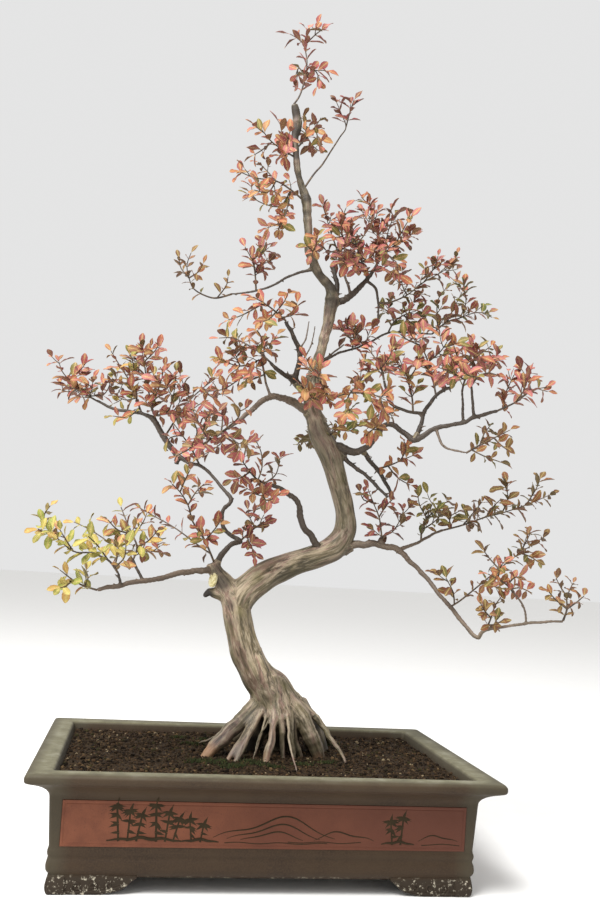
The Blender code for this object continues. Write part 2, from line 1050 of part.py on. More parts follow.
def combine(thing, others, operation):
    """Joins the others to a thing, or cuts them from it, in one Boolean, and removes them."""
    group = bpy.data.collections.new(thing.name + " others")
    bpy.context.scene.collection.children.link(group)
    for other in others:
        for holder in list(other.users_collection):
            holder.objects.unlink(other)
        group.objects.link(other)
    change = thing.modifiers.new(operation.title(), "BOOLEAN")
    change.operation = operation
    change.operand_type = "COLLECTION"
    change.collection = group
    change.solver = "EXACT"
    bpy.context.view_layer.update()
    graph = bpy.context.evaluated_depsgraph_get()
    mesh = bpy.data.meshes.new_from_object(thing.evaluated_get(graph))
    thing.modifiers.clear()
    thing.data = mesh
    for other in others:
        bpy.data.objects.remove(other, do_unlink=True)
    bpy.data.collections.remove(group)
    return thing


def seen_at(across, down, back):
    """The place in space, in metres, of a point of the front view that lies this far back."""
    facing = Vector((math.sin(EYE_TURN), math.cos(EYE_TURN), 0))
    forward = facing * math.cos(EYE_RISE) + Vector((0, 0, math.sin(EYE_RISE)))
    level = Vector((facing.y, -facing.x, 0))
    drop = forward.cross(level)
    rightward = level * math.cos(EYE_ROLL) + drop * math.sin(EYE_ROLL)
    downward = drop * math.cos(EYE_ROLL) - level * math.sin(EYE_ROLL)
    sight = forward * EYE_REACH
    sight += rightward * (across - FRAME_MIDDLE[0]) + downward * (down - FRAME_MIDDLE[1])
    return (EYE + sight * ((back - EYE.y) / sight.y)) * MM


def routed(points):
    return [(seen_at(across, down, back), radius) for across, down, back, radius in points]


def make_legs(parts):
    """The bracket feet: a front leg and a side leg at each corner, meeting in an L."""
    side_outline = [(x * SIDE_LEG_SCALE if x > 1 else x, z) for x, z in FOOT_OUTLINE]
    corner = Vector((POT_WIDTH / 2 - FOOT_INSET, POT_DEPTH / 2 - FOOT_INSET, 0)) * MM
    half = FOOT_THICKNESS / 2 * MM
    front_place = Matrix.Translation(corner - Vector((0, half, 0))) @ Matrix.Diagonal((-1, 1, 1, 1))
    side_place = Matrix.Translation(corner - Vector((half, 0, 0))) @ Matrix.Rotation(-math.pi / 2, 4, "Z")
    legs = []
    for flip_x, flip_y in ((-1, -1), (-1, 1), (1, -1), (1, 1)):
        flip = Matrix.Diagonal((flip_x, flip_y, 1, 1))
        for outline, place in ((FOOT_OUTLINE, front_place), (side_outline, side_place)):
            leg = flat_piece("leg", outline, FOOT_THICKNESS, parts)
            leg.data.transform(flip @ place)
            if (flip @ place).determinant() < 0:
                leg.data.flip_normals()
            legs.append(leg)
    return legs


def make_pot(parts):
    pot = rectangle_loft("pot_body", POT_OUTSIDE + POT_INSIDE, parts)
    combine(pot, make_legs(parts), "UNION")
    holes = [drain_hole(x, parts) for x in HOLE_PLACES]
    recesses = [panel_slab(side, 0, parts) for side in PANEL_SIDES]
    return combine(pot, holes + recesses, "DIFFERENCE")


def drain_hole(x, parts):
    bm = bmesh.new()
    radius = HOLE_RADIUS * MM
    depth = (FLOOR_TOP - BODY_BOTTOM) * 3 * MM
    bmesh.ops.create_cone(
        bm, cap_ends=True, segments=HOLE_SIDES, radius1=radius, radius2=radius, depth=depth
    )
    hole = object_of("drain hole", bm, parts)
    hole.location = (x * MM, 0, (BODY_BOTTOM + FLOOR_TOP) / 2 * MM)
    return hole


def panel_slab(side, play, collection):
    """The recess of a wall, with no play, or the panel that lies in it with play all round."""
    name, turn, half_length, half_depth = side
    length = 2 * (half_length - WALL_INSET - STILE) - 2 * play
    height = PANEL_TOP - PANEL_BOTTOM - 2 * play
    outer = PANEL_PROUD if play else PANEL_DEPTH
    thick = outer + PANEL_DEPTH - play
    slab = box("panel_" + name, (length, thick, height), (0, 0, 0), collection)
    wall = Matrix.Translation((0, -(half_depth - WALL_INSET) * MM, (PANEL_TOP + PANEL_BOTTOM) / 2 * MM))
    lean = Matrix.Rotation(WALL_LEAN, 4, "X")
    inward = Matrix.Translation((0, (thick / 2 - outer) * MM, 0))
    slab.data.transform(Matrix.Rotation(turn, 4, "Z") @ wall @ lean @ inward)
    return slab


def make_screen(number, x, parts):
    middle = FLOOR_TOP + GAP + SCREEN_THICKNESS / 2
    sides = (SCREEN_SIDE, SCREEN_SIDE, SCREEN_THICKNESS)
    screen = box(f"drain_screen_{number}", sides, (x, 0, middle), parts)
    slots = []
    for i in (-0.5, 0.5):
        for j in (-0.5, 0.5):
            place = (x + i * SCREEN_PITCH, j * SCREEN_PITCH, middle)
            slots.append(box("slot", (SCREEN_SLOT, SCREEN_SLOT, 3 * SCREEN_THICKNESS), place, parts))
    return combine(screen, slots, "DIFFERENCE")


def make_gravel(parts):
    gravel = rectangle_loft("drainage_gravel", GRAVEL_OUTSIDE, parts)
    top = FLOOR_TOP + 2 * GAP + SCREEN_THICKNESS
    side = SCREEN_SIDE + 2 * GAP
    height = 4 * SCREEN_THICKNESS
    pockets = [box("pocket", (side, side, height), (x, 0, top - height / 2), parts) for x in HOLE_PLACES]
    return combine(gravel, pockets, "DIFFERENCE")


def root_points(points, play):
    """A root's points with its end diving into the soil, and play added to its radius for the hole."""
    knots = routed(points)
    run = (knots[-1][0] - knots[-2][0]).normalized()
    run.z = ROOT_SLOPE
    knots.append((knots[-1][0] + run.normalized() * (ROOT_DIVE + play) * MM, knots[-1][1] * ROOT_TAPER))
    return [(place, radius + play) for place, radius in knots]


def trunk_foot(play):
    """The trunk's first points, for the hole that it stands in."""
    knots = routed(TRUNK[2][:3])
    down = (knots[0][0] - knots[1][0]).normalized()
    knots[0] = (knots[0][0] + down * play * MM, knots[0][1])
    return [(place, radius + play) for place, radius in knots]


def make_soil(parts):
    soil = rectangle_loft("soil", SOIL_OUTSIDE, parts)
    holes = [tube("hole", sides, root_points(points, ROOT_PLAY), parts) for _, sides, points in ROOTS]
    holes.append(tube("trunk hole", TRUNK[1], trunk_foot(ROOT_PLAY), parts))
    return combine(soil, holes, "DIFFERENCE")


def make_wood(parts):
    wood = tube("tree_wood", TRUNK[1], routed(TRUNK[2]), parts)
    limbs = [tube(name, sides, routed(points), parts) for name, sides, points in BRANCHES]
    limbs += [tube(name, sides, root_points(points, 0), parts) for name, sides, points in ROOTS]
    return combine(wood, limbs, "UNION")


def shape_of_object(thing):
    places = [thing.matrix_world @ vertex.co for vertex in thing.data.vertices]
    return places, [list(face.vertices) for face in thing.data.polygons]


def tree_of_shapes(shapes):
    """One search tree over the faces of several shapes, each a list of places and a list of faces."""
    all_places, all_faces = [], []
    for places, faces in shapes:
        start = len(all_places)
        all_places += places
        all_faces += [[start + i for i in face] for face in faces]
    return BVHTree.FromPolygons(all_places, all_faces)


def stands_clear(place, bark, distance):
    """Whether a place is outside the bark and at least this far from it, in millimetres."""
    near, normal, _, reach = bark.find_nearest(place)
    return reach > distance * MM and (place - near).dot(normal) > 0


def clear_start(route, bark):
    """The stem's first point, moved along the stem until its end face stands clear of the bark."""
    heading = (route[1] - route[0]).normalized()
    side = heading.orthogonal().normalized() * STEM_START * MM
    rim = [Matrix.Rotation(turn * math.pi / 4, 3, heading) @ side for turn in range(8)]
    middle = route[0].copy()
    while not all(stands_clear(middle + corner, bark, GAP) for corner in rim):
        middle += heading * START_STEP * MM
    return middle


def shoots_of(stem, forks, bark):
    """The routes of a spray's stem and forks, each with its foot's radius and its number of bare points."""
    main = [seen_at(*point) for point in stem]
    main[0] = clear_start(main, bark)
    shoots = [(main, STEM_START, max(0, len(main) - 1 - LEAFY_NODES))]
    for leaves_at, *points in forks:
        foot = main[leaves_at] if leaves_at else main[0].lerp(main[1], FORK_SETBACK)
        shoots.append(([foot] + [seen_at(*point) for point in points], FORK_START, 0))
    return shoots


def direction_at(route, i):
    return (route[min(i + 1, len(route) - 1)] - route[i - 1]).normalized()


def shoot_knots(route, foot_radius, bare):
    """A shoot's rings: one at each bare point and at the tip, and a close pair at each node between."""
    last = len(route) - 1
    knots = []
    for i, place in enumerate(route):
        radius = foot_radius + (STEM_END - foot_radius) * i / last
        if i <= bare or i == last:
            knots.append((place, radius))
            continue
        half = direction_at(route, i) * NODE_LENGTH / 2 * MM
        knots += [(place - half, radius), (place + half, radius)]
    return knots


def leaf_corners(foot, heading, upward, size):
    """The four corners of a leaf's widest section, going round its heading, and the two ends of its tip."""
    normal = (upward - heading * upward.dot(heading)).normalized()
    across = normal.cross(heading) * LEAF_WIDTH / 2 * size * MM
    rise = normal * LEAF_THICKNESS / 2 * MM
    length = LEAF_LENGTH * size * MM
    middle = foot + (heading - normal * LEAF_BEND * LEAF_WIDEST) * LEAF_WIDEST * length
    tip = foot + (heading - normal * LEAF_BEND) * length
    lower = [middle - across - rise, middle + across - rise]
    upper = [middle + across + rise, middle - across + rise]
    return lower + upper, [tip - rise, tip + rise]


def leaf_reach(foot, section, tip):
    """A closed shape a little bigger than the leaf, from just outside its foot, to test what it touches."""
    middle = sum(section, Vector()) / 4
    start = foot.lerp(middle, REACH_START)
    places = [start + (corner - middle) * 2 * REACH_START for corner in section]
    places += [corner + (corner - middle).normalized() * LEAF_CLEARANCE * MM for corner in section]
    places.append(tip[0] + (tip[0] - foot).normalized() * LEAF_CLEARANCE * MM)
    faces = [(3, 2, 1, 0)]
    for i in range(4):
        j = (i + 1) % 4
        faces += [(i, j, 4 + j, 4 + i), (4 + i, 4 + j, 8)]
    return places, faces


def raise_leaf(bm, face, section, tip):
    """Puts a leaf in place of a face of its stem, with the same triangles on its upper and lower sides."""
    corners = list(face.verts)
    centre = face.calc_center_median()
    middle = sum(section, Vector()) / 4

    def likeness(ring):
        pairs = zip(ring, section)
        return sum((vertex.co - centre).normalized().dot(place - middle) for vertex, place in pairs)

    foot = max(([corners[(i + turn) % 4] for i in range(4)] for turn in range(4)), key=likeness)
    bm.faces.remove(face)
    wide = [bm.verts.new(place) for place in section]
    end = [bm.verts.new(place) for place in tip]
    under = ((foot[0], foot[1], wide[1]), (foot[0], wide[1], wide[0]), (wide[0], wide[1], end[0]))
    upper = ((foot[2], foot[3], wide[2]), (foot[3], wide[3], wide[2]), (wide[2], wide[3], end[1]))
    right = ((foot[1], foot[2], wide[2]), (foot[1], wide[2], wide[1]))
    right += ((wide[1], wide[2], end[1]), (wide[1], end[1], end[0]))
    left = ((foot[3], foot[0], wide[0]), (foot[3], wide[0], wide[3]))
    left += ((wide[3], wide[0], end[0]), (wide[3], end[0], end[1]))
    for triangle in under + upper + right + left:
        bm.faces.new(triangle)


def leaf_sites(route, bare):
    """Where a shoot's leaves stand: a pair at each node, turned across the pair before, and its tip."""
    sites = []
    for i in range(bare + 1, len(route) - 1):
        along = direction_at(route, i)
        across = along.cross(Vector((0, 0, 1))).normalized()
        aim = across if i % 2 else along.cross(across)
        sites += [(route[i], along, aim), (route[i], along, -aim)]
    sites.append((route[-1], direction_at(route, len(route) - 1), None))
    return sites


def face_at(bm, place, aim):
    """The four-cornered face of the shoot by this place that looks most nearly along an aim."""
    near = [face for face in bm.faces if (face.calc_center_median() - place).length < NODE_REACH * MM]
    best = max(near, key=lambda face: face.normal.dot(aim))
    if len(best.verts) == 3:
        flat = [face for face in near if len(face.verts) == 3 and face.normal.dot(best.normal) > 0.99]
        best = bmesh.ops.dissolve_faces(bm, faces=flat)["region"][0]
    return best


def grow_leaves(shoot, route, bare, others, taken, draw):
    """Raises the shoot's leaves, each turned until it stands clear of the other pieces and leaves."""
    bm = bmesh.new()
    bm.from_mesh(shoot.data)
    for place, along, aim in leaf_sites(route, bare):
        bm.normal_update()
        face = face_at(bm, place, aim or along)
        foot = face.calc_center_median()
        for _ in range(LEAF_TRIES):
            sway = Vector([draw.uniform(-LEAF_SWAY, LEAF_SWAY) for _ in range(3)])
            lean = math.radians(draw.uniform(*(PAIR_LEAN if aim else TIP_LEAN)))
            outward = face.normal if aim else along.orthogonal().normalized()
            heading = (along * math.cos(lean) + outward * math.sin(lean) + sway).normalized()
            upward = LEAF_FACING + (along if aim else Vector()) * PAIR_FACING + sway
            section, tip = leaf_corners(foot, heading, upward, draw.uniform(*LEAF_SIZES))
            reach = leaf_reach(foot, section, tip)
            tree = tree_of_shapes([reach])
            if not others.overlap(tree) and not (taken and tree_of_shapes(taken).overlap(tree)):
                raise_leaf(bm, face, section, tip)
                taken.append(reach)
                break
    bm.to_mesh(shoot.data)
    bm.free()


def make_sprays(parts, solids):
    """The shoots first, then their leaves, clear of every other piece, then each spray as one body."""
    bark = tree_of_shapes([shape_of_object(thing) for thing in solids if thing.name == "tree_wood"])
    sprays = []
    for name, colour, stem, forks in SPRAYS:
        shoots = shoots_of(stem, forks, bark)
        tubes = [tube("spray_" + name, 4, shoot_knots(*shoot), parts) for shoot in shoots]
        sprays.append((name, colour, shoots, tubes))
    fixed = [shape_of_object(thing) for thing in solids]
    fixed += [shape_of_object(thing) for spray in sprays for thing in spray[3]]
    others = tree_of_shapes(fixed)
    taken = []
    made = []
    for number, (name, colour, shoots, tubes) in enumerate(sprays):
        draw = random.Random(SEED + number)
        for (route, _, bare), shoot in zip(shoots, tubes):
            grow_leaves(shoot, route, bare, others, taken, draw)
        spray = combine(tubes[0], tubes[1:], "UNION")
        spray.name = "spray_" + name
        made.append((spray, colour))
    return made


def stand_on_origin(things):
    """Moves the whole object so that its box stands centred on the origin."""
    corners = [thing.matrix_world @ vertex.co for thing in things for vertex in thing.data.vertices]
    places = np.array(corners)
    low, high = places.min(axis=0), places.max(axis=0)
    shift = Vector(((low[0] + high[0]) / 2, (low[1] + high[1]) / 2, low[2]))
    for thing in things:
        thing.location -= shift


def main():
    clear_scene()
    parts = new_collection("Crepe myrtle bonsai")
    clay = material("Brown stoneware", "4A4236", 0.62)
    red_clay = material("Red clay", "7A4638", 0.7)
    plastic = material("Black screen plastic", "1E1E1C", 0.5)
    stone = material("Gravel", "7A7468", 0.9)
    earth = material("Dark soil", "2E2620", 0.95)
    bark = material("Smooth bark", "9A8C72", 0.75)
    leaf_finishes = {name: material("Leaf " + name, colour, 0.5) for name, colour in COLOURS.items()}

    pot = make_pot(parts)
    pot.data.materials.append(clay)
    made = [pot]
    for side in PANEL_SIDES:
        panel = panel_slab(side, GAP, parts)
        panel.data.materials.append(red_clay)
        made.append(panel)
    for number, x in enumerate(HOLE_PLACES, 1):
        screen = make_screen(number, x, parts)
        screen.data.materials.append(plastic)
        made.append(screen)
    for thing, finish in ((make_gravel(parts), stone), (make_soil(parts), earth), (make_wood(parts), bark)):
        thing.data.materials.append(finish)
        made.append(thing)
    bpy.context.view_layer.update()
    for spray, colour in make_sprays(parts, made):
        spray.data.materials.append(leaf_finishes[colour])
        made.append(spray)
    bpy.context.view_layer.update()
    stand_on_origin(made)


main()
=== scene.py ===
# %% [markdown]
# # Crepe myrtle bonsai in a footed clay pot
#
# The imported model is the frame: a pot with four inlaid panels, the soil, the tree's wood and fifty leafy
# sprays, each at its true place and size. This lesson dresses that frame. Each step says what the real
# thing is, how it could be made, and why it is made the way it is here.

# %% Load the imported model
import math
import random

import bmesh
import bpy
import numpy as np
from mathutils import Matrix, Vector, noise
from mathutils.bvhtree import BVHTree


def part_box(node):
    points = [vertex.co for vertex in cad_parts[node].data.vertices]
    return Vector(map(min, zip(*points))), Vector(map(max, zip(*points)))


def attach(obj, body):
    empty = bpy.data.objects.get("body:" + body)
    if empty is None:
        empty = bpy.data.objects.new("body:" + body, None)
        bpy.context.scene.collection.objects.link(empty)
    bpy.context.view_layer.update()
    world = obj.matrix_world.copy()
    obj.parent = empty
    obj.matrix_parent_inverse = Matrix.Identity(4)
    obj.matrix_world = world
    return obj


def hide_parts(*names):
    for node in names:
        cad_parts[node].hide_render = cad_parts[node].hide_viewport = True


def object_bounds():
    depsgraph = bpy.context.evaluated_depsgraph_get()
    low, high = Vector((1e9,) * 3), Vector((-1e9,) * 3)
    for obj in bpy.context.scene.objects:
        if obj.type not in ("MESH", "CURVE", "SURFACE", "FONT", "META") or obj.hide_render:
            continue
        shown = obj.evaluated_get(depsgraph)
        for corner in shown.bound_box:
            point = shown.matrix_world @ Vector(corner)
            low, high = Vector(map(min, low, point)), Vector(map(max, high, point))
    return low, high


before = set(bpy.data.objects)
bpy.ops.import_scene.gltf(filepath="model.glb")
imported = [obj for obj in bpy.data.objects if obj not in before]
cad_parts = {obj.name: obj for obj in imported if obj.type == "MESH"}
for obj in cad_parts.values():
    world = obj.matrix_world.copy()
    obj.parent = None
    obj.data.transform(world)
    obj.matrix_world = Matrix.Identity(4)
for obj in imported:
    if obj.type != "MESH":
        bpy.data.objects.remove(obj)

MM = 0.001
# The noise that shifts points starts from a random state of its own, so it needs a seed too
noise.seed_set(4)
cad_box = [list(corner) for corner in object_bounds()]
pot_low, pot_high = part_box("pot_body")
MIDDLE = Vector(((pot_low.x + pot_high.x) / 2, (pot_low.y + pot_high.y) / 2, pot_low.z))
POT_WIDTH = (pot_high.x - pot_low.x) / MM
POT_DEPTH = (pot_high.y - pot_low.y) / MM
print(f"pot {POT_WIDTH:.1f} by {POT_DEPTH:.1f} mm, middle {tuple(round(v, 4) for v in MIDDLE)}")

# %% [markdown]
# ## The eye and the frame of the view
#
# The tree was drawn on a front view of 600 by 904, seen by an eye in front of the pot, a little to its left
# and at the height of the lowest branches. A camera could be set by hand until the view looks right. Here
# the eye's place, turn, rise and roll are known from the pot's corners, so the camera is built from them,
# and the same numbers turn any point of the view, with a depth, into a place in space.

# %% The eye, and a place in space from a point of the view
EYE = Vector((-152.4, -1188.1, 341.3))
EYE_TURN, EYE_RISE, EYE_ROLL = (math.radians(angle) for angle in (8.83, 6.63, -3.33))
EYE_REACH = 973.5
FRAME_MIDDLE = (300, 452)
FRAME_WIDTH = 600
SENSOR = 36

facing = Vector((math.sin(EYE_TURN), math.cos(EYE_TURN), 0))
forward = facing * math.cos(EYE_RISE) + Vector((0, 0, math.sin(EYE_RISE)))
level = Vector((facing.y, -facing.x, 0))
drop = forward.cross(level)
rightward = level * math.cos(EYE_ROLL) + drop * math.sin(EYE_ROLL)
downward = drop * math.cos(EYE_ROLL) - level * math.sin(EYE_ROLL)


def sight_of(across, down):
    """The direction in which a point of the view is seen."""
    return (forward * EYE_REACH + rightward * (across - FRAME_MIDDLE[0])
            + downward * (down - FRAME_MIDDLE[1]))


def seen_at(across, down, back):
    """The place of a point of the view that lies this many millimetres behind the pot's middle."""
    sight = sight_of(across, down)
    return (EYE + sight * ((back - EYE.y) / sight.y)) * MM + MIDDLE


def seen_on_level(across, down, height):
    """The place of a point of the view that lies at this height above the floor, in millimetres."""
    sight = sight_of(across, down)
    return (EYE + sight * ((height - EYE.z) / sight.z)) * MM + MIDDLE


bpy.ops.object.camera_add()
camera = bpy.context.object
camera.matrix_world = Matrix.Translation(EYE * MM + MIDDLE) @ Matrix(
    (rightward, -downward, -forward)).transposed().to_4x4()
camera.data.sensor_fit = "HORIZONTAL"
camera.data.sensor_width = SENSOR
camera.data.lens = EYE_REACH / FRAME_WIDTH * SENSOR
bpy.context.scene.camera = camera
print(f"lens {camera.data.lens:.1f} mm")

# %% [markdown]
# ## Small helpers
#
# Three things come back in every step. An operator acts on all that is selected, so one helper leaves just
# one object selected. Modifiers are applied in order. And each finished piece is moved so that its place is
# in its mesh, rides on the model, and hides the imported node it stands for.

# %% Helpers for objects
def only(thing):
    bpy.ops.object.select_all(action="DESELECT")
    thing.select_set(True)
    bpy.context.view_layer.objects.active = thing
    return thing


def apply_modifiers(thing):
    only(thing)
    for change in list(thing.modifiers):
        bpy.ops.object.modifier_apply(modifier=change.name)
    return thing


def join(things, name):
    only(things[0])
    for thing in things[1:]:
        thing.select_set(True)
    if len(things) > 1:
        bpy.ops.object.join()
    whole = bpy.context.object
    whole.name = whole.data.name = name
    return whole


def triangle_count(thing):
    return sum(len(face.vertices) - 2 for face in thing.data.polygons)


def finish_piece(piece, slot, *nodes):
    only(piece)
    bpy.ops.object.transform_apply(location=True, rotation=True, scale=True)
    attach(piece, "root")
    if nodes:
        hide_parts(*nodes)
    print(f"{piece.name}: {triangle_count(piece)} triangles")
    return piece


# %% [markdown]
# ## Helpers for materials
#
# A finish is a small graph of nodes. Colours are picked as sRGB hex values, as on a screen, and the shader
# wants them linear. A pattern's scale is the number of its features in a metre, so it is worked out from
# one feature's size in millimetres. The same few kinds of node come back in every finish, so a class
# holds the material and has a short word for each kind.

# %% Helpers for materials
def linear(colour):
    values = [int(colour[i:i + 2], 16) / 255 for i in (0, 2, 4)]
    return tuple(v / 12.92 if v <= 0.04045 else ((v + 0.055) / 1.055) ** 2.4 for v in values) + (1,)


def per_metre(size):
    return 1 / (size * MM)


class Finish:
    """A material with its Principled shader, whose plain values are set on the shader's own sockets."""

    def __init__(self, name, colour, roughness, **values):
        self.material = bpy.data.materials.new(name)
        self.material.use_nodes = True
        self.material.diffuse_color = linear(colour)
        self.shader = self.material.node_tree.nodes["Principled BSDF"]
        self.shader.inputs["Base Color"].default_value = linear(colour)
        self.shader.inputs["Roughness"].default_value = roughness
        for socket, value in values.items():
            self.shader.inputs[socket.replace("_", " ")].default_value = value

    def add(self, kind, inputs=None, stops=(), **settings):
        """Adds a node. inputs holds values or nodes' outputs for its sockets, stops a ramp's colours."""
        node = self.material.node_tree.nodes.new("ShaderNode" + kind)
        for name, value in settings.items():
            setattr(node, name, value)
        for name, value in (inputs or {}).items():
            if isinstance(value, bpy.types.NodeSocket):
                self.link(value, node.inputs[name])
            else:
                node.inputs[name].default_value = value
        for i, (place, colour) in enumerate(stops):
            stop = node.color_ramp.elements[i] if i < 2 else node.color_ramp.elements.new(place)
            stop.position = place
            stop.color = linear(colour) if isinstance(colour, str) else (colour, colour, colour, 1)
        return node

    def link(self, output, socket):
        self.material.node_tree.links.new(output, socket)

    def place(self):
        return self.add("TexCoord").outputs["Object"]

    def parts(self, vector):
        return self.add("SeparateXYZ", {"Vector": vector}).outputs

    def facing(self):
        """How far the surface faces upwards."""
        return self.parts(self.add("NewGeometry").outputs["Normal"])["Z"]

    def stored(self, name, output="Fac"):
        """What was stored under this name with each point."""
        return self.add("Attribute", attribute_name=name).outputs[output]

    def clouds(self, coords, size, detail, **more):
        """A noise with features of this size in millimetres."""
        inputs = {"Vector": coords, "Scale": per_metre(size), "Detail": detail, **more}
        return self.add("TexNoise", inputs).outputs["Fac"]

    def cells(self, coords, size):
        return self.add("TexVoronoi", {"Vector": coords, "Scale": per_metre(size)}).outputs["Distance"]

    def ramp(self, value, *stops):
        return self.add("ValToRGB", {"Fac": value}, stops).outputs["Color"]

    def between(self, value, start, end, most=1, least=0):
        """Goes from least to most while a value goes from start to end, and stays there beyond them."""
        inputs = {"Value": value, "From Min": start, "From Max": end, "To Min": least, "To Max": most}
        return self.add("MapRange", inputs).outputs["Result"]

    def maths(self, operation, *values):
        return self.add("Math", dict(enumerate(values)), operation=operation).outputs[0]

    def blend(self, amount, first, second, way="MIX"):
        """Mixes two colours, each a hex value or another node's output."""
        sides = [linear(side) if isinstance(side, str) else side for side in (first, second)]
        return self.add("Mix", {0: amount, 6: sides[0], 7: sides[1]}, data_type="RGBA",
                        blend_type=way).outputs[2]

    def paint(self, colour):
        self.link(colour, self.shader.inputs["Base Color"])

    def bump(self, height, strength, distance, **settings):
        inputs = {"Height": height, "Strength": strength, "Distance": distance * MM}
        self.link(self.add("Bump", inputs, **settings).outputs["Normal"], self.shader.inputs["Normal"])

    def put_on(self, thing):
        thing.data.materials.clear()
        thing.data.materials.append(self.material)


def shade_smooth(thing, degrees):
    only(thing)
    bpy.ops.object.shade_smooth_by_angle(angle=math.radians(degrees))

# %% [markdown]
# ## Floor and light
#
# The tree stands on a plain pale floor in soft studio light. The floor is a wide sheet of paper, nearly
# white. A big soft lamp above and to the left gives the pot's rim and the tops of the limbs their shine
# and leaves the pot's front darker, and the pale world fills the shadows.

# %% Floor, lamps and world
FLOOR_SIDE = 30
bpy.ops.mesh.primitive_plane_add(size=FLOOR_SIDE, location=(0, 0, 0))
floor = bpy.context.object
floor.name = "floor"
paper = Finish("White paper sweep", "F6F5F2", 0.9)
paper.paint(paper.blend(paper.clouds(paper.place(), 40, 3), "F7F6F4", "F3F2EF"))
paper.put_on(floor)

WORLD_STRENGTH = 0.78
world = bpy.context.scene.world or bpy.data.worlds.new("Studio")
bpy.context.scene.world = world
world.use_nodes = True
background = world.node_tree.nodes["Background"]
background.inputs["Color"].default_value = (1, 1, 1, 1)
background.inputs["Strength"].default_value = WORLD_STRENGTH
bpy.context.scene.view_settings.view_transform = "Standard"

# Each lamp: name, place from the pot's middle, the height it looks at, its side in metres and its watts
LAMPS = (
    ("top softbox", (-1.1, -1.1, 2.7), 0.4, 1.45, 131),
    ("left softbox", (-1.7, -1.4, 1.5), 0.5, 1, 9),
)
for name, place, height, side, watts in LAMPS:
    bpy.ops.object.light_add(type="AREA", location=MIDDLE + Vector(place))
    lamp = bpy.context.object
    lamp.name = name
    lamp.data.shape = "SQUARE"
    lamp.data.size = side
    lamp.data.energy = watts
    aim = MIDDLE + Vector((0, 0, height)) - lamp.location
    lamp.rotation_euler = aim.to_track_quat("-Z", "Y").to_euler()

# %% [markdown]
# ## The pot's body
#
# The pot is stoneware, pressed in a mould and smoothed by hand: a base band between two beads, a straight
# wall that leans out a little, a hollow neck and a broad flat rim. It could be a box with parts cut away.
# Here it is drawn as a potter would draw it, as one profile from the foot up over the rim and down inside,
# and a flat block is extruded ring by ring along that profile. Only then are the corners rounded.

# %% The profile of the wall
# Points are (how far in from the rim, height) in millimetres
WALL_LOW = (27.5, 46)
WALL_HIGH = (24, 97)
FLOOR_TOP = 26
OUTSIDE = (
    (31, 18), (28.4, 20.2), (26, 24), (25.6, 28), (26.1, 32.5), (27.7, 36), (26.4, 39.5), (26.2, 43),
    WALL_LOW, WALL_HIGH, (23.2, 99.4), (20.8, 102.8), (16.2, 106.3), (10.4, 109.2), (4.2, 111.4),
    (1, 112.8), (0, 114.6), (0, 119.2), (2.4, 122),
)
INSIDE = ((25, 122), (27.2, 119.8), (29, 112), (34, 98), (38, FLOOR_TOP))
CORNER_CURVE = 1.4
CURVE_STEPS = 2


def rounded(outline, radius, steps):
    """The outline with each corner between its ends turned into a small curve."""
    places = [Vector(point) for point in outline]
    smooth = [places[0]]
    for before, corner, after in zip(places, places[1:], places[2:]):
        start = corner + (before - corner).normalized() * min(radius, (before - corner).length * 0.45)
        end = corner + (after - corner).normalized() * min(radius, (after - corner).length * 0.45)
        for i in range(steps + 1):
            share = i / steps
            smooth.append(start.lerp(corner, share).lerp(corner.lerp(end, share), share))
    return smooth + [places[-1]]


rings = rounded(OUTSIDE + INSIDE, CORNER_CURVE, CURVE_STEPS)
print(f"{len(rings)} rings from the foot to the inner floor")


# %% Extrude a block along the profile
def pick(thing, faces=None, edges=None):
    """In edit mode, selects just the faces, or the edges, that pass a test."""
    bpy.ops.mesh.select_all(action="DESELECT")
    bpy.ops.mesh.select_mode(type="FACE" if faces else "EDGE")
    shape = bmesh.from_edit_mesh(thing.data)
    shape.normal_update()
    chosen = [face for face in shape.faces if faces(face)] if faces else [
        edge for edge in shape.edges if edges(edge)]
    for part in chosen:
        part.select = True
    shape.select_flush_mode()
    bmesh.update_edit_mesh(thing.data)
    return len(chosen)


def half_sizes(ring):
    return (POT_WIDTH / 2 - ring[0]) * MM, (POT_DEPTH / 2 - ring[0]) * MM


SLAB = 1
base_x, base_y = half_sizes(rings[0])
bpy.ops.mesh.primitive_cube_add(size=1, location=MIDDLE + Vector((0, 0, (rings[0][1] - SLAB / 2) * MM)))
pot = bpy.context.object
pot.scale = (2 * base_x, 2 * base_y, SLAB * MM)
bpy.ops.object.transform_apply(location=True, rotation=True, scale=True)
bpy.ops.object.mode_set(mode="EDIT")
pick(pot, faces=lambda face: face.normal.z > 0.9)
for ring, after in zip(rings, rings[1:]):
    rise = (0, 0, (after[1] - ring[1]) * MM)
    growth = [new / old for new, old in zip(half_sizes(after), half_sizes(ring))]
    bpy.ops.mesh.extrude_region_move(TRANSFORM_OT_translate={"value": rise})
    bpy.ops.transform.resize(value=(*growth, 1), center_override=MIDDLE)
bpy.ops.object.mode_set(mode="OBJECT")
print("pot shell", len(pot.data.polygons), "faces")

# %% [markdown]
# ### Rounded corners, recesses and drain holes
#
# Moulded clay has no sharp upright corners, so the chains of edges that run up the four corners are
# bevelled. Each wall then gets its recess: its long flat face is inset, the inner face is sized to the
# panel, and it is pushed in. The drain holes are cut through the floor with two plain cylinders.

# %% Corners and recesses
CORNER_RADIUS = 4
STILE = 12
PANEL_BOTTOM, PANEL_TOP = 47, 94
PANEL_DEPTH = 3.4
WALL_INSET = (WALL_LOW[0] + WALL_HIGH[0]) / 2
WALL_LEAN = math.atan2(WALL_LOW[0] - WALL_HIGH[0], WALL_HIGH[1] - WALL_LOW[1])
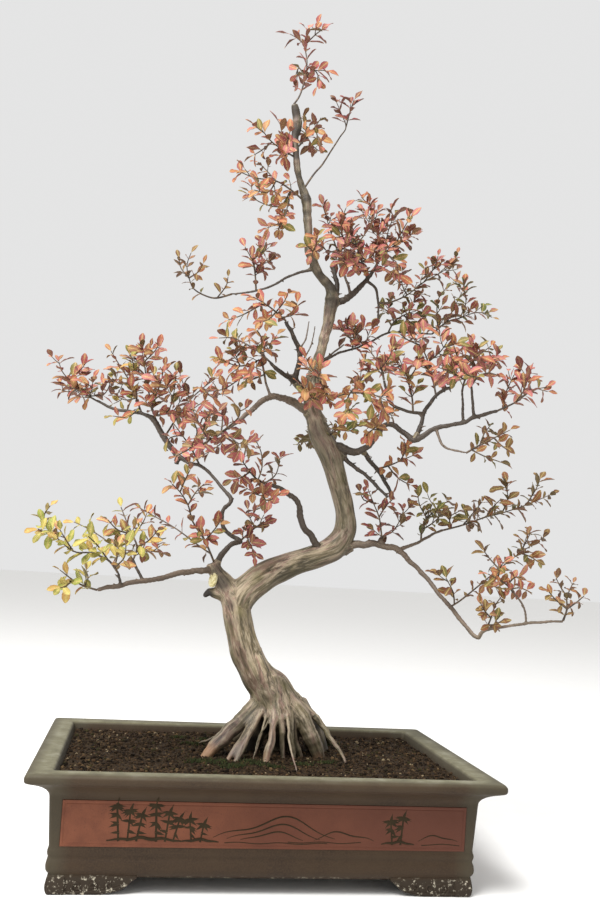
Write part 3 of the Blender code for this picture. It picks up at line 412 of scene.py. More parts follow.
# Each wall: name, turn about Z, half its length at the rim, and half the rim's depth there
WALLS = (
    ("front", 0, POT_WIDTH / 2, POT_DEPTH / 2),
    ("back", math.pi, POT_WIDTH / 2, POT_DEPTH / 2),
    ("left", -math.pi / 2, POT_DEPTH / 2, POT_WIDTH / 2),
    ("right", math.pi / 2, POT_DEPTH / 2, POT_WIDTH / 2),
)


def runs_up_a_corner(edge):
    along = edge.verts[0].co - edge.verts[1].co
    across = (abs(along.x) > 1e-6, abs(along.y) > 1e-6)
    return abs(along.z) > 1e-6 or all(across)


def wall_place(wall, height, outward):
    """Turns millimetres along a wall, up from this height and into it, to places in space."""
    _, turn, _, half_depth = wall
    stand = Matrix.Translation((0, -(half_depth - WALL_INSET) * MM, height * MM))
    lean = Matrix.Rotation(WALL_LEAN, 4, "X")
    out = Matrix.Translation((0, -outward * MM, 0))
    return Matrix.Translation(MIDDLE) @ Matrix.Rotation(turn, 4, "Z") @ stand @ lean @ out


only(pot)
bpy.ops.object.mode_set(mode="EDIT")
pick(pot, edges=runs_up_a_corner)
bpy.ops.mesh.bevel(offset=CORNER_RADIUS * MM, segments=5, affect="EDGES")
PANEL_MIDDLE = (PANEL_TOP + PANEL_BOTTOM) / 2
for wall in WALLS:
    place = wall_place(wall, PANEL_MIDDLE, 0)
    outward = (place.to_3x3() @ Vector((0, -1, 0))).normalized()

    def is_wall(face):
        middle = face.calc_center_median()
        tall = max(vertex.co.z for vertex in face.verts) - min(vertex.co.z for vertex in face.verts)
        return face.normal.dot(outward) > 0.99 and tall > 40 * MM and middle.z > 60 * MM

    pick(pot, faces=is_wall)
    bpy.ops.mesh.inset(thickness=1.2 * MM, depth=0)
    shape = bmesh.from_edit_mesh(pot.data)
    recess = [face for face in shape.faces if face.select][0]
    half = Vector((wall[2] - WALL_INSET - STILE, (PANEL_TOP - PANEL_BOTTOM) / 2)) * MM
    for corner in recess.verts:
        local = place.inverted() @ corner.co
        corner.co = place @ Vector((math.copysign(half.x, local.x), 0, math.copysign(half.y, local.z)))
    bmesh.update_edit_mesh(pot.data)
    bpy.ops.mesh.extrude_region_shrink_fatten(
        TRANSFORM_OT_shrink_fatten={"value": -PANEL_DEPTH * MM})
bpy.ops.object.mode_set(mode="OBJECT")

HOLE_RADIUS = 14
HOLE_PLACES = (-105, 105)
for x in HOLE_PLACES:
    bpy.ops.mesh.primitive_cylinder_add(
        vertices=32, radius=HOLE_RADIUS * MM, depth=40 * MM, location=MIDDLE + Vector((x, 0, 20)) * MM)
    cutter = bpy.context.object
    cut = pot.modifiers.new("Drain hole", "BOOLEAN")
    cut.operation = "DIFFERENCE"
    cut.object = cutter
    apply_modifiers(pot)
    bpy.data.objects.remove(cutter)
print("pot body", triangle_count(pot), "triangles")

# %% [markdown]
# ### Bracket feet with cloud scrolls
#
# Under each corner stands an L-shaped bracket foot whose face is carved with cloud scrolls. The leg's
# outline is drawn flat and thickened, with its edges rounded by the curve's own bevel. The scrolls are
# round ropes of clay, coiled in spirals that tighten towards their eyes, sunk half their thickness in the
# face. A front leg and a shorter side leg are modelled once and mirrored to the four corners.

# %% One leg with its scrolls
FOOT_OUTLINE = (
    (0, 20), (-2, 13), (-3, 7), (-1.5, 1.5), (0.5, 0), (52, 0), (63, 2),
    (73, 4.5), (80, 9), (84, 13.5), (89, 16), (88, 20),
)
FOOT_INSET = 29
FOOT_THICKNESS = 17
SIDE_LEG_SCALE = 0.72
FOOT_EDGE = 1.1
# Each scroll: its middle, its outer radius, its turns and the way it coils
SCROLLS = (((11, 10), 7.2, 1.6, 1), ((29, 8), 5.4, 1.4, -1), ((45, 9), 4.6, 1.3, 1), ((61, 10), 3.8, 1.2, -1))
ROPE = 1.3


def curve_mesh(name, routes, depth, sides, flat=False, extrude=0):
    """A mesh from routes of (place, share of the depth): tubes of that depth, or one flat closed outline."""
    bpy.ops.curve.primitive_bezier_curve_add(location=(0, 0, 0))
    thing = bpy.context.object
    curve = thing.data
    curve.splines.clear()
    curve.dimensions = "2D" if flat else "3D"
    curve.fill_mode = "BOTH" if flat else "FULL"
    curve.bevel_depth = depth
    curve.bevel_resolution = sides // 2 - 2
    curve.extrude = extrude
    curve.offset = -depth if flat else 0
    curve.use_fill_caps = not flat
    for route in routes:
        spline = curve.splines.new("POLY")
        spline.points.add(len(route) - 1)
        spline.use_cyclic_u = flat
        spline.points.foreach_set("co", [v for place, _ in route for v in (*place, 1)])
        spline.points.foreach_set("radius", [share for _, share in route])
    only(thing)
    bpy.ops.object.convert(target="MESH")
    thing = bpy.context.object
    thing.name = name
    bpy.ops.object.mode_set(mode="EDIT")
    bpy.ops.mesh.select_all(action="SELECT")
    bpy.ops.mesh.remove_doubles(threshold=0.01 * MM)
    bpy.ops.mesh.normals_make_consistent(inside=False)
    bpy.ops.object.mode_set(mode="OBJECT")
    return thing


def one_leg(stretch):
    """A leg from its outer corner inwards, its face towards -Y at y = 0."""
    outline = [(x * stretch if x > 1 else x, z) for x, z in FOOT_OUTLINE]
    outline = [outline[0]] + rounded(outline, 2.5, 2)[1:-1] + [outline[-1]]
    flat = [((x * MM, z * MM, 0), 1) for x, z in outline]
    leg = curve_mesh("leg", [flat], FOOT_EDGE * MM, 8, True, (FOOT_THICKNESS / 2 - FOOT_EDGE) * MM)
    leg.rotation_euler = (math.pi / 2, 0, 0)
    leg.location = (0, FOOT_THICKNESS / 2 * MM, 0)
    ropes = []
    for (x, z), radius, turns, way in SCROLLS:
        steps = int(20 * turns)
        route = []
        for i in range(steps + 1):
            share = i / steps
            angle = way * (share * turns * 2 * math.pi) - math.pi / 2
            reach = radius * (1 - 0.78 * share)
            point = (x * stretch + math.cos(angle) * reach, 0, z + math.sin(angle) * reach)
            route.append((Vector(point) * MM, 1 - 0.35 * share))
        ropes.append(route)
    edge = [(x * stretch, 3.2 + max(0, x - 50) ** 1.6 * 0.035) for x in range(2, 80, 3)]
    ropes.append([(Vector((x, 0, z)) * MM, 0.8) for x, z in edge])
    scrolls = curve_mesh("scrolls", ropes, ROPE * MM, 8)
    whole = join([leg, scrolls], "leg")
    bpy.ops.object.transform_apply(location=True, rotation=True, scale=True)
    return whole


corner = Vector((POT_WIDTH / 2 - FOOT_INSET, POT_DEPTH / 2 - FOOT_INSET, 0)) * MM
legs = []
to_front = Matrix.Rotation(math.pi, 4, "Z")
to_side = Matrix.Rotation(math.pi / 2, 4, "Z") @ Matrix.Diagonal((-1, 1, 1, 1))
for stretch, turn in ((1, to_front), (SIDE_LEG_SCALE, to_side)):
    model = one_leg(stretch)
    stand = Matrix.Translation(corner) @ turn
    for flip_x, flip_y in ((-1, -1), (-1, 1), (1, -1), (1, 1)):
        place = Matrix.Translation(MIDDLE) @ Matrix.Diagonal((flip_x, flip_y, 1, 1)) @ stand
        leg = model.copy()
        leg.data = model.data.copy()
        bpy.context.collection.objects.link(leg)
        leg.data.transform(place)
        if place.determinant() < 0:
            leg.data.flip_normals()
        legs.append(leg)
    bpy.data.objects.remove(model)
pot = join([pot] + legs, "pot")
print("legs", len(legs))

# %% [markdown]
# ### Stoneware finish
#
# The clay is unglazed brown stoneware, fired in smoke: matt, a little sandy, and it wears pale along the rim
# where hands lift it. The rim's flat top, where it faces up, is painted paler still: a painted highlight. The
# grain could be modelled, but it is finer than a millimetre, so it is a bump. The broad clouds of colour come
# from the fire, and the pale scuffs on the feet from shelves.

# %% Brown stoneware
stoneware = Finish("Smoke-fired brown stoneware", "3A2D1F", 0.66, Specular_IOR_Level=0.22)
coords = stoneware.place()
tone = stoneware.ramp(stoneware.clouds(coords, 70, 5, Roughness=0.6),
                      (0.3, "281D14"), (0.5, "332619"), (0.72, "3E3121"))
grain = stoneware.clouds(coords, 1.6, 3)
body = stoneware.blend(stoneware.ramp(grain, (0.35, 0.0), (0.7, 1.0)), tone, "3B2D1F")
place = stoneware.parts(coords)
from_middle = stoneware.maths("SUBTRACT", place["X"], MIDDLE.x)
insets = [stoneware.maths("SUBTRACT", half * MM, stoneware.maths("ABSOLUTE", distance))
          for distance, half in ((from_middle, POT_WIDTH / 2), (place["Y"], POT_DEPTH / 2))]
# The stiles at the ends caught less smoke and stayed greyer
body = stoneware.blend(stoneware.between(insets[0], 0.05, 0.034, 0.32), body, "4A4A3C")
# The rim is the palest part: years of handling wear it pale, above all on its flat top inside its edge, and
# where the top faces up it is also painted paler, as a painted highlight
inner = stoneware.between(stoneware.maths("MINIMUM", *insets), 0.003, 0.014, least=0.3)
on_rim = stoneware.between(place["Z"], 0.1125, 0.117)
top_highlight = stoneware.between(stoneware.facing(), 0.3, 0.95, least=0.12)
rim_wear_and_highlight = stoneware.maths("MULTIPLY", stoneware.maths("MULTIPLY", on_rim, top_highlight), inner)
wear_and_highlight_tone = stoneware.ramp(stoneware.clouds(coords, 32, 6, Roughness=0.72),
                          (0.3, "524E3E"), (0.5, "68644F"), (0.7, "807D6C"))
worn_and_highlit = stoneware.blend(rim_wear_and_highlight, body, wear_and_highlight_tone)
low = stoneware.between(place["Z"], 0.02, 0.016)
scuffed = stoneware.ramp(stoneware.clouds(coords, 4, 4, Roughness=0.7), (0.57, 0.0), (0.65, 0.95))
dark_foot = stoneware.blend(low, worn_and_highlit, "2F261C")
stoneware.paint(stoneware.blend(stoneware.maths("MULTIPLY", low, scuffed), dark_foot, "B4AC99"))
stoneware.bump(grain, 0.35, 0.3)
stoneware.put_on(pot)
shade_smooth(pot, 32)
finish_piece(pot, "brown_stoneware", "pot_body")

# %% [markdown]
# ## The inlaid panels
#
# Each wall holds a slab of iron-rich red clay in its recess. The slab is a block with softened edges and a
# shallow groove round its face, where the maker trimmed it with a wire. On the front a brush drawing in
# dark slip stands a little proud of the clay: two clumps of bamboo over low hills, in the old manner.

# %% Red clay slabs
GAP = 0.35
PANEL_PROUD = 0.5
red_clay = Finish("Iron-rich red clay", "7E4A3A", 0.75, Specular_IOR_Level=0.25)
coords = red_clay.place()
# From left to right the panels are painted darker: painted light, brightest at the left where the lamps stand
share = red_clay.between(red_clay.parts(coords)["X"], MIDDLE.x - 0.2, MIDDLE.x + 0.2)
fired = red_clay.ramp(share, (0.0, "7C4A34"), (0.45, "633927"), (1.0, "563226"))
smoke = red_clay.ramp(red_clay.clouds(coords, 45, 6, Roughness=0.65), (0.35, 0.75), (0.7, 0.0))
clay = red_clay.blend(smoke, fired, "512D20")
grain = red_clay.clouds(coords, 1.2, 2)
red_clay.paint(red_clay.blend(red_clay.ramp(grain, (0.6, 0.0), (0.72, 0.6)), clay, "4E2E24"))
red_clay.bump(grain, 0.3, 0.25)


def panel_size(wall):
    return 2 * (wall[2] - WALL_INSET - STILE - GAP), PANEL_TOP - PANEL_BOTTOM - 2 * GAP


def make_panel(wall):
    length, height = panel_size(wall)
    thick = PANEL_PROUD + PANEL_DEPTH - GAP
    bpy.ops.mesh.primitive_cube_add(size=1)
    slab = bpy.context.object
    slab.scale = Vector((length, thick, height)) * MM
    bpy.ops.object.transform_apply(scale=True)
    bpy.ops.object.mode_set(mode="EDIT")
    pick(slab, faces=lambda face: face.normal.y < -0.9)
    # The trimmed border: a flat margin, a shallow groove, then the field
    for width, depth in ((2.2, 0), (0.5, -0.5), (0.7, 0), (0.5, 0.35)):
        bpy.ops.mesh.inset(thickness=width * MM, depth=depth * MM)
    bpy.ops.object.mode_set(mode="OBJECT")
    edge = slab.modifiers.new("Soft edge", "BEVEL")
    edge.width = 0.35 * MM
    edge.segments = 2
    apply_modifiers(slab)
    slab.data.transform(wall_place(wall, PANEL_MIDDLE, PANEL_PROUD - thick / 2))
    slab.name = slab.data.name = "clay_panel_" + wall[0]
    red_clay.put_on(slab)
    return slab


for wall in WALLS:
    finish_piece(make_panel(wall), "red_clay", "panel_" + wall[0])

# %% [markdown]
# ### The slip drawing
#
# A brush loaded with dark slip leaves a low ridge. A cane is a row of joints, each a thin flattened bar
# with a wider lip, so one joint is modelled and copied up every cane. A leaf is one pointed stroke, copied
# in fans. The hills and the water are long thin ropes that follow a sum of two waves.

# %% Bamboo and hills
SLIP_HEIGHT = 0.5
# How far the panel's field stands out, and how deep the strokes are sunk in it
FIELD, SLIP_SINK = 0.65, 0.35
# Each cane: where it starts along the panel, its joints, a joint's length and width, and its lean
CANES = ((-154, 4, 8.8, 2.8, -0.1), (-145, 3, 10.2, 2.4, 0.04), (-136, 3, 9, 2.6, 0.16),
         (-116, 4, 9.2, 3, -0.06), (-107, 3, 9.8, 2.4, 0.1), (-99, 3, 8, 2.4, 0.24),
         (-80, 3, 7.6, 2.2, -0.14), (-71, 2, 9, 2.2, 0.14), (132, 3, 8, 2.2, -0.12),
         (141, 3, 9.4, 2.4, 0.06))
LEAF_STROKE = (9.5, 3)
# Banks that the bamboo stands on, then hills behind hills
HILLS = ((-166, -88, -16.6, 1.8, 23, 1.5), (-92, -52, -16.8, 1.4, 19, 1.3), (120, 156, -16.6, 1.5, 17, 1.2),
         (-58, 70, -12, 11, 90, 0.7), (-44, 54, -13, 7.6, 77, 0.65), (-30, 36, -14, 4.4, 61, 0.6),
         (48, 112, -13.4, 5, 52, 0.6), (160, 204, -13, 3.6, 40, 0.55))
WATER = ((-46, 62, -17.2), (20, 100, -15.8), (164, 206, -16.4))
slip_draw = random.Random(7)


def on_panel(piece, x, z, turn, length, width):
    """A copy of a stroke, laid on the front panel's face."""
    copy = piece.copy()
    copy.data = piece.data.copy()
    bpy.context.collection.objects.link(copy)
    flat = Matrix.Translation(Vector((x, 0, z)) * MM) @ Matrix.Rotation(turn, 4, "Y")
    sized = Matrix.Diagonal((width, 1, length, 1))
    copy.data.transform(wall_place(WALLS[0], PANEL_MIDDLE, FIELD - SLIP_SINK) @ flat @ sized)
    return copy


bpy.ops.mesh.primitive_cube_add(size=1, location=(0, 0, 0.5 * MM))
joint = bpy.context.object
joint.scale = (MM, SLIP_HEIGHT * 2 * MM, MM)
bpy.ops.object.transform_apply(location=True, rotation=True, scale=True)
bpy.ops.object.mode_set(mode="EDIT")
bpy.ops.mesh.subdivide(number_cuts=3)
bpy.ops.object.mode_set(mode="OBJECT")
for vertex in joint.data.vertices:
    share = vertex.co.z / MM
    waist = 0.72 + 0.28 * abs(2 * share - 1) ** 3
    vertex.co.x *= waist
    vertex.co.y *= waist if abs(vertex.co.x) < 0.3 * MM else 0.55 * waist

bpy.ops.mesh.primitive_cone_add(vertices=4, radius1=0.5 * MM, radius2=0.08 * MM, depth=MM,
                                location=(0, 0, 0.5 * MM))
stroke = bpy.context.object
bpy.ops.object.transform_apply(location=True, rotation=True, scale=True)
bpy.ops.object.mode_set(mode="EDIT")
bpy.ops.mesh.subdivide(number_cuts=3)
bpy.ops.object.mode_set(mode="OBJECT")
for vertex in stroke.data.vertices:
    share = max(0, min(1, vertex.co.z / MM))
    vertex.co.x *= 0.35 + 1.3 * math.sin(math.pi * min(1, share * 1.05 + 0.08)) ** 0.7
    vertex.co.y *= 0.9

strokes = []
for start, joints, length, width, lean in CANES:
    foot = Vector((start, -17))
    along = Vector((math.sin(lean), math.cos(lean)))
    for i in range(joints):
        strokes.append(on_panel(joint, foot.x, foot.y, lean, length * 0.94, width))
        foot += along * length
        for _ in range(4 if i else 1):
            fan = slip_draw.uniform(1.25, 2.6) * slip_draw.choice((-1, 1))
            size = slip_draw.uniform(0.75, 1.15)
            strokes.append(on_panel(stroke, foot.x, foot.y, fan, *(size * side for side in LEAF_STROKE)))
    for fan in (-2.3, -1.6, 0.3, 1.7, 2.4):
        strokes.append(on_panel(stroke, foot.x, foot.y, lean + fan, *LEAF_STROKE))
for thing in (joint, stroke):
    bpy.data.objects.remove(thing)

ropes = []
for start, end, base, rise, wave, width in HILLS:
    route = []
    for x in range(start, end + 1, 2):
        share = (x - start) / (end - start)
        swell = math.sin(share * math.pi) * (1 + 0.35 * math.sin(x / wave * 2 * math.pi))
        place = Vector((x, 0, base + rise * 1.6 * swell)) * MM
        route.append((place, width * (0.5 + math.sin(share * math.pi))))
    ropes.append(route)
for start, end, base in WATER:
    steps = range(start, end + 1, 3)
    ropes.append([(Vector((x, 0, base + 0.7 * math.sin(x / 7))) * MM, 0.55) for x in steps])
lines = curve_mesh("lines", ropes, 0.8 * MM, 6)
lines.data.transform(wall_place(WALLS[0], PANEL_MIDDLE, FIELD - SLIP_SINK))
drawing = join(strokes + [lines], "slip_drawing")
slip = Finish("Dark iron slip", "2E261B", 0.85, Specular_IOR_Level=0.12)
slip.paint(slip.blend(slip.clouds(slip.place(), 9, 4), "231D14", "3A3020"))
slip.put_on(drawing)
shade_smooth(drawing, 40)
finish_piece(drawing, "brown_stoneware")

# %% [markdown]
# ## Soil, grains and moss
#
# The mound is dark fired-clay soil in pellets of two to five millimetres. One body carries its form, with
# an uneven top, and the pellets you can see are real pieces pressed into it. Two pellets are modelled, a
# round one and a splinter, and copied some thousands of times, each with its own size, turn and shade.

# %% The soil's body
SOIL_EDGE = 29.6
# Points are (how far in from the rim, height) in millimetres: first over the mound, then down inside the wall
MOUND = ((29.6, 111.6), (34, 112.6), (70, 114), (125, 115.5))
SOIL_SIDE = ((34.4, 98), (37.55, 40.35))
GRID = (160, 106)
soil_half = Vector(half_sizes((SOIL_EDGE, 0)))


def mound_height(x, y):
    """The soil's height over the floor at a place measured from the pot's middle, in metres."""
    inset = min(soil_half.x - abs(x), soil_half.y - abs(y)) / MM + SOIL_EDGE
    return np.interp(inset, [point[0] for point in MOUND], [point[1] for point in MOUND]) * MM


def lumpy_height(x, y):
    coarse = noise.noise(Vector((x, y, 0)) / (38 * MM)) * 1.6
    fine = noise.noise(Vector((x, y, 3)) / (9 * MM)) * 0.9
    edge = min(1, (min(soil_half.x - abs(x), soil_half.y - abs(y)) / MM) / 4)
    return mound_height(x, y) + (coarse + fine) * max(0, edge) * MM


bpy.ops.mesh.primitive_grid_add(x_subdivisions=GRID[0], y_subdivisions=GRID[1], size=2, location=(0, 0, 0))
soil = bpy.context.object
soil.scale = (soil_half.x, soil_half.y, 1)
bpy.ops.object.transform_apply(scale=True)
for vertex in soil.data.vertices:
    vertex.co = MIDDLE + Vector((vertex.co.x, vertex.co.y, lumpy_height(vertex.co.x, vertex.co.y)))
bpy.ops.object.mode_set(mode="EDIT")
pick(soil, edges=lambda edge: edge.is_boundary)
ring = MOUND[0]
for below in SOIL_SIDE:
    bpy.ops.mesh.extrude_edges_move(TRANSFORM_OT_translate={"value": (0, 0, (below[1] - ring[1]) * MM)})
    growth = [new / old for new, old in zip(half_sizes(below), half_sizes(ring))]
    bpy.ops.transform.resize(value=(*growth, 1), center_override=MIDDLE)
    ring = below
bpy.ops.mesh.edge_face_add()
bpy.ops.mesh.select_all(action="SELECT")
bpy.ops.mesh.normals_make_consistent(inside=False)
bpy.ops.object.mode_set(mode="OBJECT")
soil.name = soil.data.name = "soil_mound"
earth = Finish("Damp fired-clay soil", "2A2017", 0.95, Specular_IOR_Level=0.1)
crumbs = earth.cells(earth.place(), 3)
earth.paint(earth.ramp(crumbs, (0.15, "40321F"), (0.55, "2A2016"), (0.8, "17110B")))
earth.bump(crumbs, 0.8, 1, invert=True)
earth.put_on(soil)
finish_piece(soil, "soil", "soil")

# %% [markdown]
# ### Copying small things by the thousand
#
# An instance would be light, but a reusable part must hold real faces, so this helper writes one mesh with
# all copies in it. Each point remembers its place in its own model, which patterns such as a leaf's veins
# read, and whether it looks down there. Each copy has its own colour with a random number beside it.

# %% Many copies in one mesh
def store(thing, name, kind, values):
    layer = thing.data.attributes.new(name, kind, "POINT")
    field = {"FLOAT": "value", "FLOAT_VECTOR": "vector", "FLOAT_COLOR": "color"}[kind]
    layer.data.foreach_set(field, np.asarray(values, dtype=np.float32).ravel())


def many_copies(name, models, rows, finish):
    """One mesh of many copies. Each row says which model, the copy's matrix, its colour and its chance."""
    places, own, tints, unders, faces = [], [], [], [], []
    total = 0
    for number, model in enumerate(models):
        chosen = [row for row in rows if row[0] == number]
        if not chosen:
            continue
        flat = np.array([vertex.co for vertex in model.data.vertices])
        turns = np.array([np.array(row[1]) for row in chosen])
        moved = np.einsum("kij,nj->kni", turns[:, :3, :3], flat) + turns[:, None, :3, 3]
        places.append(moved.reshape(-1, 3))
        own.append(np.tile(flat, (len(chosen), 1)))
        looks_down = np.array([vertex.normal.z < 0 for vertex in model.data.vertices], float)
        unders.append(np.tile(looks_down, len(chosen)))
        shades = np.array([(*linear(row[2])[:3], row[3]) for row in chosen])
        tints.append(np.repeat(shades, len(flat), axis=0))
        corners = [tuple(face.vertices) for face in model.data.polygons]
        for copy in range(len(chosen)):
            start = total + copy * len(flat)
            faces += [tuple(start + i for i in face) for face in corners]
        total += len(chosen) * len(flat)
    mesh = bpy.data.meshes.new(name)
    mesh.from_pydata(np.concatenate(places).tolist(), [], faces)
    thing = bpy.data.objects.new(name, mesh)
    bpy.context.collection.objects.link(thing)
    store(thing, "own", "FLOAT_VECTOR", np.concatenate(own))
    store(thing, "tint", "FLOAT_COLOR", np.concatenate(tints))
    store(thing, "under", "FLOAT", np.concatenate(unders))
    finish.put_on(thing)
    only(thing)
    return thing


def free_turn(draw):
    return Matrix.Rotation(draw.uniform(0, 6.3), 4, "Z") @ Matrix.Rotation(draw.uniform(0, 6.3), 4, "X")


# %% Pellets of soil
PELLETS, SPLINTERS = 3500, 5400
PELLET_SHADES = ("4E3D2B", "3E3021", "2C2117", "5A4530", "36291B", "221A10", "705A3E", "403B22", "A08E70")
SHADE_WEIGHTS = (5, 6, 6, 4, 6, 6, 2.4, 3, 0.8)
soil_draw = random.Random(11)
bpy.ops.mesh.primitive_ico_sphere_add(subdivisions=1, radius=0.5 * MM)
pellet = bpy.context.object
for vertex in pellet.data.vertices:
    vertex.co *= 1 + 0.28 * noise.noise(vertex.co / MM * 2.3)
bpy.ops.mesh.primitive_cone_add(vertices=4, radius1=0.5 * MM, radius2=0.24 * MM, depth=0.6 * MM)
splinter = bpy.context.object
splinter.data.transform(Matrix.Shear("XY", 4, (0.3, 0.2)))
rows = []
for i in range(PELLETS + SPLINTERS):
    x = soil_draw.uniform(-1, 1) * (soil_half.x - 1.6 * MM)
    y = soil_draw.uniform(-1, 1) * (soil_half.y - 1.6 * MM)
    size = 2.4 + 3.6 * soil_draw.random() ** 2 if i < PELLETS else soil_draw.uniform(1.3, 3.4)
    z = lumpy_height(x, y) + soil_draw.uniform(-0.1, 0.22) * size * MM
    sized = Matrix.Diagonal((size, size * soil_draw.uniform(0.7, 1), size * soil_draw.uniform(0.6, 0.9), 1))
    place = Matrix.Translation(MIDDLE + Vector((x, y, z))) @ free_turn(soil_draw) @ sized
    shade = soil_draw.choices(PELLET_SHADES, SHADE_WEIGHTS)[0]
    rows.append((int(i >= PELLETS), place, shade, soil_draw.random()))
fired = Finish("Fired clay pellets", "3A2D20", 0.9, Specular_IOR_Level=0.12)
dust = fired.clouds(fired.place(), 1.4, 3)
fired.paint(fired.blend(dust, fired.stored("tint", "Color"), "3A2C1E", "MULTIPLY"))
pellets = many_copies("soil_pellets", (pellet, splinter), rows, fired)
for thing in (pellet, splinter):
    bpy.data.objects.remove(thing)
finish_piece(pellets, "soil")

# %% [markdown]
# ## The wood
#
# A crepe myrtle's trunk is smooth and muscular: long ridges run up it from the roots, branches leave it with
# a swollen collar, and the roots spread over the soil like claws. Turned shapes would look like pipes. Here
# every limb is a tube through points drawn on the front view. The tubes are fused with a voxel remesh, as
# clay is pressed together, smoothed, and the ridges are raised by moving the points along their normals.

# %% The routes of trunk, limbs and roots
# A knot's row gives its place across and down in the view, how far it lies behind the pot's middle, and
# its radius, all in millimetres, and a comma follows each knot. Under the fork of the roots the trunk is
# hollow, so its own tube narrows there
TRUNK = ("284 766 34 17, 284 742 28 18, 283 724 18 20, 282 712 10 25.5, 271 692 8 25.5, 258 676 6 20.5, "
         "248 657 3 18.6, 241 636 -1 18, 237 614 -5 18, 234 600 -7 16.5, 226 585 -9 11.5, 216 572 -11 9, "
         "212 563 -12 8")
